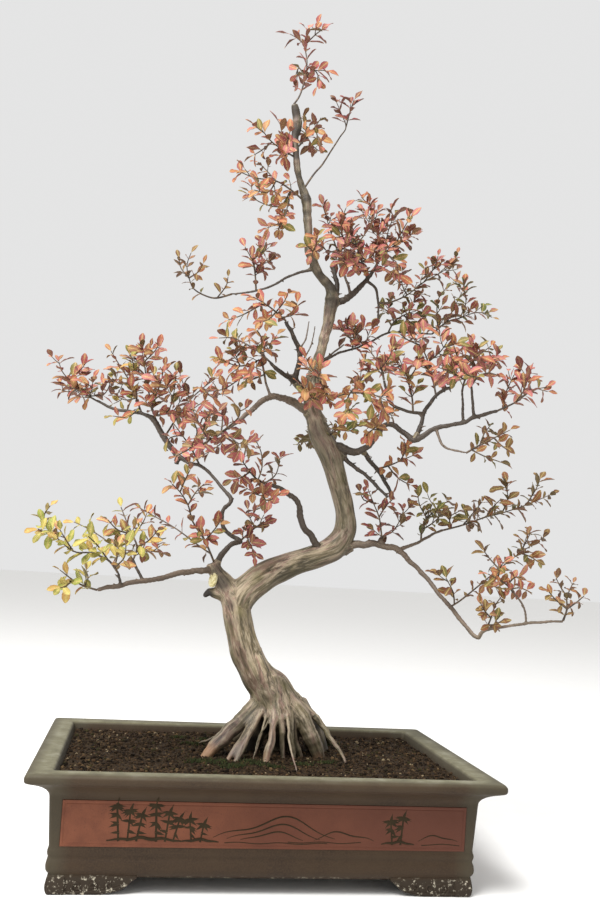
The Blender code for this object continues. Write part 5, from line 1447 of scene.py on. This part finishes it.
def make_blade(fold, droop, wave, twist):
    bpy.ops.mesh.primitive_grid_add(x_subdivisions=2, y_subdivisions=len(BLADE_ROWS) - 1, size=1)
    blade = bpy.context.object
    for vertex in blade.data.vertices:
        share = BLADE_ROWS[round((vertex.co.y + 0.5) * (len(BLADE_ROWS) - 1))]
        side = vertex.co.x * 2
        width = blade_half_width(share) * LEAF_WIDTH / 2
        turn = twist * share
        x = side * width * math.cos(fold * 1.5)
        z = abs(side) * width * math.sin(fold * 1.5) + wave * LEAF_LENGTH * math.sin(share * 9) * side
        z += x * math.tan(turn) * 0.6 - droop * LEAF_LENGTH * share * share + 0.02 * LEAF_LENGTH * share
        y = share * LEAF_LENGTH * (1 - droop * droop * 0.5)
        vertex.co = Vector((x, y, z)) * MM
    thick = blade.modifiers.new("Thickness", "SOLIDIFY")
    thick.thickness = BLADE_THICKNESS * MM
    thick.offset = 0
    return apply_modifiers(blade)


blades = [make_blade(*row) for row in BLADES]
print("faces of a blade:", len(blades[0].data.polygons))


# %% [markdown]
# ### The colours of autumn
#
# On one tree the sun side turns red first and the shaded side stays olive. Each spray has a family of
# colours, and each leaf draws one of them. The material adds what every leaf has: a paler midrib, faint
# side veins, a darker margin, green left along the midrib and rusty blotches. The underside is painted darker
# and browner, as painted shade. The surface has a soft gloss.

# %% Leaf colours and finishes
FAMILIES = {
    "rose": ("A34C4E", "923A40", "A65C5C", "A6585A", "9C4C36", "6C262C", "6E6A32", "A45250", "AA6866",
             "8A3A30"),
    "wine": ("7F373C", "8E403F", "62282E", "9B4B4B", "704032", "746036"),
    "amber": ("9A4A30", "A05C38", "984440", "825234", "7C322E", "6E6C32", "9E6C40", "A4544C", "A26056"),
    "bronze": ("6E4B2E", "795932", "86502D", "5E5A2C", "8E5A42", "643828"),
    "olive": ("655E30", "54522A", "746C34", "7C5434", "8A5A3A", "586430"),
    "lime": ("A39540", "96903A", "A69446", "7F7E34", "B0883F", "A06A40", "8E963C"),
}
# What shows along the midrib and at the base: the yellow under the red, or the green that is left
GLOWS = {"rose": "A0804A", "wine": "80603F", "amber": "A07E42", "bronze": "7B6F37", "olive": "7D7A35",
         "lime": "BCAF58"}
# The distance between a leaf's side veins, in millimetres
VEIN_PITCH = 2.8


def leaf_finish(family):
    leaf = Finish("Autumn leaf, " + family, FAMILIES[family][0], 0.55, Specular_IOR_Level=0.2)
    tint = leaf.add("Attribute", attribute_name="tint")
    own = leaf.stored("own", "Vector")
    parts = leaf.parts(own)
    side = leaf.maths("ABSOLUTE", parts["X"])
    apart = leaf.add("CombineXYZ", {"X": tint.outputs["Alpha"]}).outputs[0]
    moved = leaf.add("VectorMath", {0: own, 1: apart}, operation="ADD").outputs[0]
    patchy = leaf.ramp(leaf.clouds(moved, 9, 3), (0.35, 0.0), (0.6, 1.0))
    green = leaf.maths("MULTIPLY", leaf.between(side, 0.0042, 0.0006, 0.8), patchy)
    field = leaf.blend(green, tint.outputs["Color"], GLOWS[family])
    edged = leaf.blend(leaf.between(side, 0.0034, 0.0063, 0.45), field, "6E3430")
    rusty = leaf.blend(leaf.ramp(leaf.clouds(moved, 3.2, 2), (0.62, 0.0), (0.7, 0.55)), edged, "7A4A28")
    ribbed = leaf.blend(leaf.between(side, 0.0006, 0.0002, 0.7), rusty, "C8A668")
    # The underside of each blade is painted darker and browner: painted shade
    shaded_underside = leaf.blend(leaf.maths("MULTIPLY", leaf.stored("under"), 0.55), ribbed, "5A4436")
    faded = leaf.add("HueSaturation", {"Color": shaded_underside, "Saturation": 0.93, "Value": 0.97})
    leaf.paint(faded.outputs["Color"])
    slope = leaf.maths("MULTIPLY_ADD", side, -0.9, parts["Y"])
    wave = leaf.maths("MULTIPLY", slope, 2 * math.pi / (VEIN_PITCH * MM))
    leaf.bump(leaf.maths("SINE", wave), 0.35, 0.15)
    return leaf


finishes = {family: leaf_finish(family) for family in FAMILIES}
shoot_bark = Finish("Young shoot bark", "5A4632", 0.6)
shoot_bark.paint(shoot_bark.ramp(shoot_bark.clouds(shoot_bark.place(), 5, 4),
                                 (0.35, "2C221A"), (0.5, "48392A"), (0.68, "655139")))

# %% Where the sprays grow
# A spray's row gives its name, its family of colours, the points of its main shoot, and its forks. A fork
# leaves from the main shoot's point with the number before its colon. A point is given as in the routes
# of the wood, without a radius
SPRAYS = (
    ("apex", "rose", "294 104 0, 300 95 0, 305 78 -2, 307 62 -4, 305 45 -2, 308 29 0",
     "4: 297 38 8, 290 34 12; 4: 315 35 -6, 323 29 -10; 2: 314 70 -14, 320 80 -28; 2: 299 68 12, "
     "295 78 25"),
    ("apex_right", "wine",
     "303 190 -1, 314 174 8, 322 165 14, 331 151 21, 340 137 28, 346 127 32, 341 113 36, 336 101 37",
     "5: 350 112 21, 354 100 14"),
    ("crown_left", "rose", "296 158 3, 285 151 0, 272 142 -2, 262 130 -4",
     "1: 287 143 -36, 290 132 -57; 2: 262 150 10, 254 155 18; 1: 282 134 6, 280 122 12"),
    ("crown_right", "amber", "298 147 3, 307 137 8, 315 127 12, 321 118 18",
     "1: 313 146 28, 319 151 46; 1: 305 128 43, 303 117 64; 2: 318 138 -8, 322 147 -18"),
    ("left_high", "amber", "303 200 -2, 291 190 -6, 276 181 -8, 256 178 -10, 240 172 -10",
     "1: 280 206 4, 262 203 10, 248 194 12; 2: 268 192 -21, 254 190 -36; 1: 285 216 -12, 278 230 -28; "
     "2: 266 170 4, 258 162 8"),
    ("left_up", "rose", "256 290 32, 255 273 32, 252 260 32, 245 247 32",
     "2: 262 252 14, 266 242 8; 1: 262 266 50, 268 258 64"),
    ("left_tip", "bronze",
     "232 294 43, 217 298 50, 206 296 54, 194 289 57, 189 278 57, 187 265 54, 191 253 50",
     "1: 226 286 32, 228 277 25; 4: 181 268 72, 179 258 79; 4: 198 272 39, 203 264 32"),
    ("trunk_front", "amber", "309 257 -3, 313 252 -25, 306 245 -46",
     "1: 316 244 -43, 317 236 -57"),
    ("right_high_back", "rose", "340 266 39, 337 250 46, 331 233 50, 326 216 50",
     "1: 346 246 75, 348 226 93; 1: 328 252 68, 322 244 86; 2: 340 222 32, 346 208 21; 0: 350 262 90, "
     "360 256 118"),
    ("right_high_front", "rose", "367 279 18, 362 262 10, 356 245 4, 352 225 0",
     "1: 372 256 -14, 378 242 -36; 2: 344 238 -14, 338 228 -28; 0: 376 270 -6, 388 266 -18; "
     "2: 366 232 12, 370 216 18; 1: 350 264 -8, 342 256 -18"),
    ("right_high_tip", "rose", "377 264 21, 385 254 25, 395 245 28, 405 240 28, 413 233 28",
     "0: 379 243 36, 374 222 39, 369 202 39; 1: 388 232 50, 395 214 57; 2: 404 228 12, 410 218 6; "
     "1: 396 262 8, 398 272 2"),
    ("brown_shoot", "bronze", "378 303 14, 391 302 14, 407 295 18, 424 282 21, 440 273 25, 456 262 28",
     "3: 434 268 8, 438 256 2; 2: 402 284 32, 404 274 43"),
    ("green_end", "olive", "432 334 68, 447 322 72, 460 318 75, 474 313 79, 488 313 79",
     "0: 437 316 64, 438 300 57, 446 288 54; 1: 456 304 93, 462 292 104; 0: 426 322 90, 422 308 100; "
     "2: 466 302 61, 463 288 50"),
    ("olive_middle", "olive", "388 333 61, 394 322 50, 404 315 39, 416 311 32",
     "2: 410 322 18, 420 326 10; 1: 390 312 72, 386 306 82"),
    ("inner_red", "rose", "352 350 34, 354 341 18, 358 330 10",
     "1: 347 336 32, 343 330 46; 1: 364 342 8, 370 336 2"),
    ("pink_middle", "rose", "436 396 -57, 433 380 -50, 428 362 -43, 422 346 -36, 418 331 -28",
     "2: 440 352 -64, 447 342 -79; 1: 444 372 -28, 452 364 -14; 3: 408 340 -50, 400 334 -61"),
    ("pink_inner", "rose", "413 412 -70, 412 397 -64, 408 380 -57, 402 365 -50, 396 351 -43",
     "2: 416 368 -82, 420 356 -97; 3: 392 368 -32, 384 362 -21"),
    ("pink_left", "rose", "384 380 -86, 381 368 -86, 375 358 -82, 369 350 -79",
     "1: 389 358 -100, 392 348 -108; 1: 372 372 -72, 364 370 -61"),
    ("rose_back", "amber", "453 386 -46, 464 371 -39, 476 358 -32, 483 352 -25, 491 346 -18",
     "1: 470 356 -12, 471 343 -4; 0: 452 368 -36, 446 354 -25; 2: 488 364 -10, 497 360 0; 1: 458 358 -61, "
     "454 346 -72"),
    ("rose_upright", "rose", "462 392 -90, 465 380 -93, 473 370 -100, 485 362 -108, 499 359 -115",
     "1: 455 374 -108, 447 370 -118; 2: 474 358 -118, 476 348 -129"),
    ("rose_upright_two", "rose", "471 386 -111, 478 377 -122, 488 373 -133, 500 376 -144",
     "1: 470 376 -140, 462 372 -154"),
    ("rose_right", "rose", "497 411 -108, 516 402 -115, 531 391 -118, 547 387 -122",
     "0: 505 395 -100, 514 375 -93; 0: 505 395 -100, 514 375 -93; 2: 529 380 -104, 531 370 -97; "
     "1: 524 390 -133, 526 378 -144"),
    ("amber_front", "amber", "314 406 -4, 330 399 -36, 350 393 -61, 370 394 -86, 385 400 -108",
     "0: 311 396 -54, 305 387 -75; 1: 324 388 -64, 316 376 -82, 306 358 -86; 2: 358 384 -39, 364 376 -25; "
     "2: 346 404 -86, 352 412 -100"),
    ("sparse_olive", "olive", "324 440 -4, 338 428 -21, 344 417 -32, 352 408 -43",
     "1: 349 431 -57, 357 426 -75"),
    ("middle_orange", "amber", "379 433 -39, 376 424 -25, 369 416 -12",
     "1: 385 416 -10, 394 412 -2; 0: 372 430 -68, 366 436 -86"),
    ("low_orange", "amber", "376 469 -5, 388 466 -18, 400 461 -28, 414 455 -36",
     "1: 398 478 -14, 410 485 -12; 2: 406 450 -50, 404 441 -61"),
    ("low_curve", "bronze", "466 453 -118, 480 445 -122, 494 438 -126, 510 430 -129",
     "0: 484 456 -133, 503 463 -140; 1: 484 434 -108, 490 426 -97; 2: 502 446 -144, 508 450 -154"),
    ("old_stub_top", "amber", "286 321 -36, 276 312 -39, 264 303 -43, 253 297 -46",
     "1: 284 302 -61, 288 293 -75; 2: 252 310 -21, 240 316 -8, 228 320 0; 1: 268 320 -64, 260 322 -82; "
     "0: 294 314 -14, 297 303 -6"),
    ("left_yellow", "amber", "270 362 -46, 259 352 -43, 246 344 -36, 233 338 -28, 219 338 -21",
     "1: 262 340 -68, 257 330 -82; 2: 240 350 -4, 234 344 10; 1: 268 350 -18, 272 340 -8"),
    ("arch_up", "amber", "266 384 -32, 261 361 -25, 252 364 -18, 240 366 -12, 228 363 -8, 218 359 -6",
     "0: 250 380 -8, 242 378 0, 226 388 10, 213 391 18, 202 388 25; 2: 250 374 -50, 240 378 -68; "
     "3: 236 356 6, 232 350 14"),
    ("red_crest", "rose", "157 424 72, 151 403 68, 147 382 64, 144 362 61, 141 345 57",
     "1: 159 388 39, 163 372 25; 2: 138 370 86, 133 356 97; 0: 168 411 54, 174 392 39, 176 372 32; "
     "0: 172 412 90, 182 398 108; 1: 164 390 93, 168 376 108; 3: 154 352 39, 158 346 28"),
    ("red_left", "amber", "142 414 79, 136 398 86, 130 382 93, 120 366 100, 111 351 104",
     "1: 126 400 108, 116 396 122; 2: 120 384 118, 112 378 133; 0: 128 417 61, 113 416 46; 2: 134 368 68, "
     "130 354 57"),
    ("red_right", "rose", "164 438 68, 178 416 79, 190 400 86, 203 388 93, 216 378 97",
     "2: 184 386 108, 180 374 122; 1: 188 412 50, 200 404 36; 3: 212 397 75, 220 394 68"),
    ("pink_far_left", "rose", "97 401 97, 77 389 100, 69 380 102, 62 371 104, 59 362 104",
     "0: 92 388 82, 84 382 72; 2: 78 372 90, 84 366 82; 0: 104 394 115, 110 384 126; 1: 70 392 122, "
     "62 390 133"),
    ("pink_fork", "rose", "200 466 39, 191 448 28, 182 435 18, 174 424 12",
     "1: 197 432 6, 192 418 0; 2: 170 438 36, 166 446 50; 1: 184 452 6, 176 456 -4; 1: 204 446 50, "
     "212 436 64"),
    ("arch_tip", "wine", "228 428 -86, 211 439 -97, 203 431 -104, 197 419 -108, 193 410 -108",
     "0: 222 415 -68, 212 411 -57; 0: 222 442 -72, 212 450 -61, 203 455 -54; 0: 234 440 -108, "
     "241 450 -122; 1: 200 446 -122, 189 447 -136; 2: 206 420 -126, 210 412 -140; 0: 238 418 -108, "
     "240 408 -122"),
    ("inner_left", "wine", "270 485 -36, 258 480 -43, 250 472 -48, 243 462 -54, 236 452 -61",
     "1: 262 467 -32, 261 452 -25, 256 441 -21; 0: 263 495 -57, 252 493 -72; 3: 246 448 -72, 250 436 -82; "
     "0: 276 474 -14, 280 458 -6; 2: 240 478 -72, 232 480 -86; 1: 266 500 -82, 280 494 -104"),
    ("back_faint", "olive", "321 436 -2, 313 440 50, 304 439 82, 297 445 108",
     "1: 316 428 97, 314 418 126; 1: 326 434 108, 334 430 140"),
    ("purple", "wine", "240 541 0, 247 535 -10, 255 528 -18, 264 521 -25",
     "1: 250 544 -36, 256 546 -50; 2: 250 518 -6, 248 510 0"),
    ("left_orange", "amber", "214 562 -12, 205 541 -25, 193 522 -36, 188 505 -43, 180 492 -50, 172 484 -57",
     "3: 196 492 -28, 204 484 -18; 1: 202 534 -54, 198 528 -68; 0: 198 545 2, 175 528 14, 154 516 32, "
     "140 508 46; 4: 186 478 -72, 190 470 -82; 1: 214 530 -50, 220 522 -64"),
    ("lime_far", "lime", "118 573 -88, 108 560 -93, 90 553 -97, 73 551 -100, 52 533 -108, 43 522 -111",
     "4: 44 517 -93, 50 506 -82; 0: 116 550 -68, 94 532 -57, 74 522 -50; 3: 66 540 -122, 60 530 -133; "
     "1: 98 546 -122, 88 536 -140; 4: 44 532 -129, 38 529 -140; 0: 124 558 -111, 126 545 -129"),
    ("lime_middle", "lime", "133 560 -61, 137 547 -50, 132 534 -39, 126 520 -28, 121 507 -21",
     "1: 148 541 -75, 158 530 -90; 2: 142 524 -14, 147 513 -6; 0: 124 552 -32, 114 544 -18; "
     "2: 118 530 -57, 108 520 -68; 1: 150 552 -25, 160 546 -12"),
    ("lime_low", "lime", "97 590 -97, 84 586 -100, 73 580 -104, 60 570 -108",
     "1: 88 578 -82, 86 571 -72; 2: 66 586 -122, 60 588 -133"),
    ("knob_fan", "wine", "382 541 6, 381 530 2, 379 517 -2, 373 502 -6, 368 489 -8",
     "0: 392 532 14, 399 522 25, 404 509 32; 2: 386 506 -18, 392 500 -32; 3: 364 500 4, 360 492 10"),
    ("low_green", "olive", "421 541 11, 422 530 6, 427 518 0, 433 502 -4",
     "2: 438 508 10, 448 501 21; 2: 420 506 -10, 418 496 -18; 1: 434 522 -12, 442 514 -25"),
    ("right_shoot", "bronze", "444 530 27, 463 525 43, 486 517 57, 502 513 68, 526 505 75, 552 494 75",
     "0: 450 517 12, 462 510 6; 3: 508 498 57, 505 486 50; 4: 536 489 86, 540 479 93; 1: 474 512 68, "
     "482 502 82; 2: 494 506 39, 500 500 25"),
    ("low_upper_shoot", "bronze",
     "450 607 -50, 461 600 -54, 482 583 -57, 499 569 -61, 520 553 -61, 544 537 -61",
     "0: 453 592 -64, 446 578 -72; 3: 490 559 -46, 484 551 -39; 4: 531 557 -86, 538 562 -100; "
     "4: 526 542 -39, 530 534 -28; 2: 492 586 -79, 500 588 -93"),
    ("low_amber", "amber", "513 592 -100, 507 585 -104, 498 579 -108, 488 574 -111",
     "1: 516 577 -126, 526 580 -140; 0: 520 588 -79, 530 592 -64; 2: 500 568 -126, 504 562 -136"),
    ("low_olive", "bronze", "486 630 -91, 491 618 -82, 495 606 -72, 501 597 -64",
     "1: 484 610 -100, 480 602 -108; 0: 496 624 -115, 503 620 -126"),
    ("low_end", "bronze", "563 621 -133, 567 609 -133, 567 597 -129, 573 583 -126",
     "1: 556 600 -140, 549 592 -146; 1: 577 602 -115, 584 596 -104; 2: 560 586 -108, 556 578 -97"),
)
# A shoot's radius where it leaves the wood, where it forks and at its tip, in millimetres
SHOOT_RADII = (1.35, 1.05, 0.55)
TWIG_RADII = (0.7, 0.45)
SHOOT_STEP = 3.5
FORK_SETBACK = 0.4
LEAF_SIZES = (0.34, 0.9, 0.55)
# How often a pair of leaves gives way to a short side shoot with leaves of its own: for each family, and
# for sprays that are fuller or thinner than their family
BUSHY = {"rose": 0.36, "wine": 0.2, "amber": 0.24, "bronze": 0.02, "olive": 0.12, "lime": 0.2}
OWN_BUSHY = {name: bushy for bushy, names in (
    (0.02, "low_amber trunk_front old_stub_top sparse_olive left_orange low_orange right_shoot"),
    (0.02, "low_upper_shoot lime_low apex_right pink_fork"), (0.04, "apex"), (0.06, "crown_right"),
    (0.08, "lime_far inner_left arch_tip"), (0.1, "rose_upright rose_upright_two crown_left"),
    (0.12, "rose_back rose_right lime_middle"), (0.2, "brown_shoot red_right"), (0.24, "green_end"),
    (0.28, "red_crest"), (0.4, "olive_middle")) for name in names.split()}
# Leaf sizes of a spray or family against the others', and the families whose shades some sprays take on
LEAF_SCALE = {"bronze": 0.84, "pink_fork": 0.82, "low_amber": 0.85, "olive": 0.95, "rose": 1.06, "apex": 1.1,
              "apex_right": 1.15, "left_high": 0.96, "olive_middle": 1.15, "green_end": 1.1, "lime_far": 1.02,
              "lime_middle": 1.06, "right_shoot": 1.12, "low_upper_shoot": 0.98, "crown_left": 1.06}
MIXED = {name: family for family, names in (
    ("amber", "red_crest red_right pink_far_left green_end right_high_tip pink_inner crown_left"),
    ("amber", "lime_middle inner_left"), ("rose", "olive_middle brown_shoot"), ("lime", "red_left"),
) for name in names.split()}
# Leaves stand along this many of a main shoot's last stretches
LEAFY_NODES = 4
OWN_LEAFY_NODES = {"apex_right": 2, "red_right": 2}
# The distance from one pair of leaves to the next, how much it varies, and its share where leaves crowd
PAIR_PITCH, PITCH_PLAY, CROWDED = 9, (0.85, 1.15), 0.88
# Where the first pair stands on a shoot and on a side shoot, and how far pairs turn off their plane
FIRST_PAIR, FIRST_TWIG_PAIR = 6.0, 3.0
PAIR_SWING = 28
SIDE_SHOOT = (11, 19)
PAIR_LEAN = (38, 70)
TIP_LEAN = (0, 25)
LEAF_SWAY = 0.3
LEAF_FACING = Vector((0, -0.45, 0.55))
TRIES = 5
# Where along a leaf its room is felt for, and how near it may come to the wood and the box
FEELERS = (0.4, 0.7, 1)
WOOD_PLAY = 1.5 * MM
WIDEST_ROOM = 9 * MM
BOX_PLAY = Vector((0.4, 0.4, 0.4)) * MM
LEAF_ROOM = Vector((6, 6, 6)) * MM
FIRST_SEED = 300
wood_tree = BVHTree.FromPolygons(
    [vertex.co.copy() for wood in (trunk, limbs) for vertex in wood.data.vertices],
    [list(face.vertices) for face in trunk.data.polygons]
    + [[len(trunk.data.vertices) + i for i in face.vertices] for face in limbs.data.polygons])
box_low, box_high = (Vector(corner) for corner in cad_box)
# Points of the leaves that have grown so far, with one far away at first
felt = np.full((16000, 3), -9.0)
felt_count = 0


def within_box(point, play):
    return all(low <= v <= high for low, v, high in zip(box_low + play, point, box_high - play))


def leaf_matrix(foot, heading, upward, size):
    normal = (upward - heading * upward.dot(heading)).normalized()
    turn = Matrix((heading.cross(normal), heading, normal)).transposed().to_4x4()
    return Matrix.Translation(foot) @ turn @ Matrix.Scale(size, 4)


def room_for(place):
    """How much room a leaf has at its feelers, or -1 where it would enter the wood or leave the box."""
    feelers = [place @ (Vector((x, share * LEAF_LENGTH, -4 * share * share)) * MM)
               for share in FEELERS for x in (-3.5 * (1.1 - share), 3.5 * (1.1 - share))]
    if not all(within_box(point, BOX_PLAY) for point in feelers):
        return -1
    for point in feelers:
        near, normal, _, reach = wood_tree.find_nearest(point)
        if reach < WOOD_PLAY or (point - near).dot(normal) < 0:
            return -1
    others = felt[:felt_count + 1]
    return min(np.linalg.norm(np.array(feelers)[:, None] - others[None], axis=2).min(), WIDEST_ROOM)


def grow_leaf(rows, place, along, outward, tip, looks, draw):
    """Tries some leans and sizes for a leaf, and keeps the one with the most room."""
    global felt_count
    palette, scale = looks
    best = None
    for _ in range(TRIES):
        sway = Vector([draw.uniform(-LEAF_SWAY, LEAF_SWAY) for _ in range(3)])
        lean = math.radians(draw.uniform(*(TIP_LEAN if tip else PAIR_LEAN)))
        heading = (along * math.cos(lean) + outward * math.sin(lean) + sway).normalized()
        size = draw.triangular(*LEAF_SIZES) * (0.85 if tip else 1) * scale
        stand = leaf_matrix(place + outward * 0.3 * MM, heading, LEAF_FACING + along * 0.7 + sway, size)
        room = room_for(stand)
        if room > 0 and (best is None or room > best[0]):
            best = (room, stand)
    if best is None:
        return
    stand = best[1]
    for share in FEELERS:
        felt[felt_count] = stand @ (Vector((0, share * LEAF_LENGTH, -3 * share * share)) * MM)
        felt_count += 1
    rows.append((draw.randrange(len(blades)), stand, draw.choice(palette), draw.random()))


def grow_shoot(knots, bare, radii, bushy, looks, draw):
    """The routes of a shoot and its side shoots, and the leaves along their leafy parts."""
    last = len(knots) - 1
    radius_at = [radii[0] + (radii[1] - radii[0]) * i / last for i in range(len(knots))]
    route = curve_through(list(zip(knots, radius_at)), SHOOT_STEP)
    start = min(range(len(route)), key=lambda i: (route[i][0] - knots[bare]).length)
    rows, routes = [], [route]
    travelled, due, number = 0, FIRST_PAIR if bushy else FIRST_TWIG_PAIR, draw.randrange(2)
    for i in range(start + 1, len(route) - 1):
        place = route[i][0]
        travelled += (place - route[i - 1][0]).length / MM
        if travelled < due:
            continue
        due = travelled + PAIR_PITCH * draw.uniform(*PITCH_PLAY) * (1 if bushy > 0.02 else CROWDED)
        number += 1
        along = (route[i + 1][0] - route[i - 1][0]).normalized()
        across = along.cross(Vector((0, 0, 1))).normalized()
        aim = across if number % 2 else along.cross(across)
        swing = math.radians(draw.uniform(-PAIR_SWING, PAIR_SWING))
        aim = Matrix.Rotation(swing, 3, along) @ aim
        for side in (aim, -aim):
            if draw.random() >= bushy:
                grow_leaf(rows, place, along, side, False, looks, draw)
                continue
            reach = draw.uniform(*SIDE_SHOOT) * MM
            lean = (along + side * draw.uniform(0.8, 1.6) + Vector((0, 0, 0.3))).normalized()
            tip = place + (lean * 0.5 + (lean + along * 0.3).normalized() * 0.5) * reach
            if within_box(tip, LEAF_ROOM):
                side_knots = [place, place + lean * reach * 0.5, tip]
                twig, leaves = grow_shoot(side_knots, 0, TWIG_RADII, 0, looks, draw)
                routes += twig
                rows += leaves
    along = (route[-1][0] - route[-2][0]).normalized()
    grow_leaf(rows, route[-1][0], along, along.orthogonal().normalized(), True, looks, draw)
    return routes, rows


# %% Grow every spray
leaf_total = 0
for number, (name, family, stem, forks) in enumerate(SPRAYS):
    draw = random.Random(FIRST_SEED + number)
    main = [seen_at(*point) for point in numbers(stem)]
    bare = max(0, len(main) - 1 - OWN_LEAFY_NODES.get(name, LEAFY_NODES))
    shoots = [(main, bare, (SHOOT_RADII[0], SHOOT_RADII[2]))]
    for fork in forks.split(";"):
        knot, points = fork.split(":")
        foot = main[int(knot)] if int(knot) else main[0].lerp(main[1], FORK_SETBACK)
        shoots.append(([foot] + [seen_at(*point) for point in numbers(points)], 0, SHOOT_RADII[1:]))
    routes, rows = [], []
    shades = FAMILIES[family] + FAMILIES[MIXED.get(name, family)]
    looks = (shades, LEAF_SCALE.get(name, LEAF_SCALE.get(family, 1)))
    for shoot in shoots:
        grown, leaves = grow_shoot(*shoot, OWN_BUSHY.get(name, BUSHY[family]), looks, draw)
        routes += grown
        rows += leaves
    stalks = curve_mesh("shoots_" + name, routes, MM, 6)
    shoot_bark.put_on(stalks)
    leaves = many_copies("leaves_" + name, blades, rows, finishes[family])
    spray = join([leaves, stalks], "foliage_" + name)
    shade_smooth(spray, 60)
    finish_piece(spray, "leaf_" + family, "spray_" + name)
    leaf_total += len(rows)
for thing in blades:
    bpy.data.objects.remove(thing)
print("leaves", leaf_total)

# %% [markdown]
# ## What the frame still shows
#
# The gravel and the two plastic screens under the soil keep the frame's own shapes, which are already what
# they need to be. They get a finish each: mixed pale grit, and black net plastic.

# %% Gravel and screens
grit = Finish("Mixed grit", "7A7468", 0.85)
grit.paint(grit.ramp(grit.cells(grit.place(), 6), (0.1, "9A9282"), (0.5, "7A7468"), (0.75, "3A362F")))
net = Finish("Black net plastic", "1E1E1C", 0.45)
net.paint(net.blend(net.clouds(net.place(), 8, 3), "1A1A18", "33302B"))
for name, finish in (("drainage_gravel", grit), ("drain_screen_1", net), ("drain_screen_2", net)):
    finish.put_on(bpy.data.objects[name])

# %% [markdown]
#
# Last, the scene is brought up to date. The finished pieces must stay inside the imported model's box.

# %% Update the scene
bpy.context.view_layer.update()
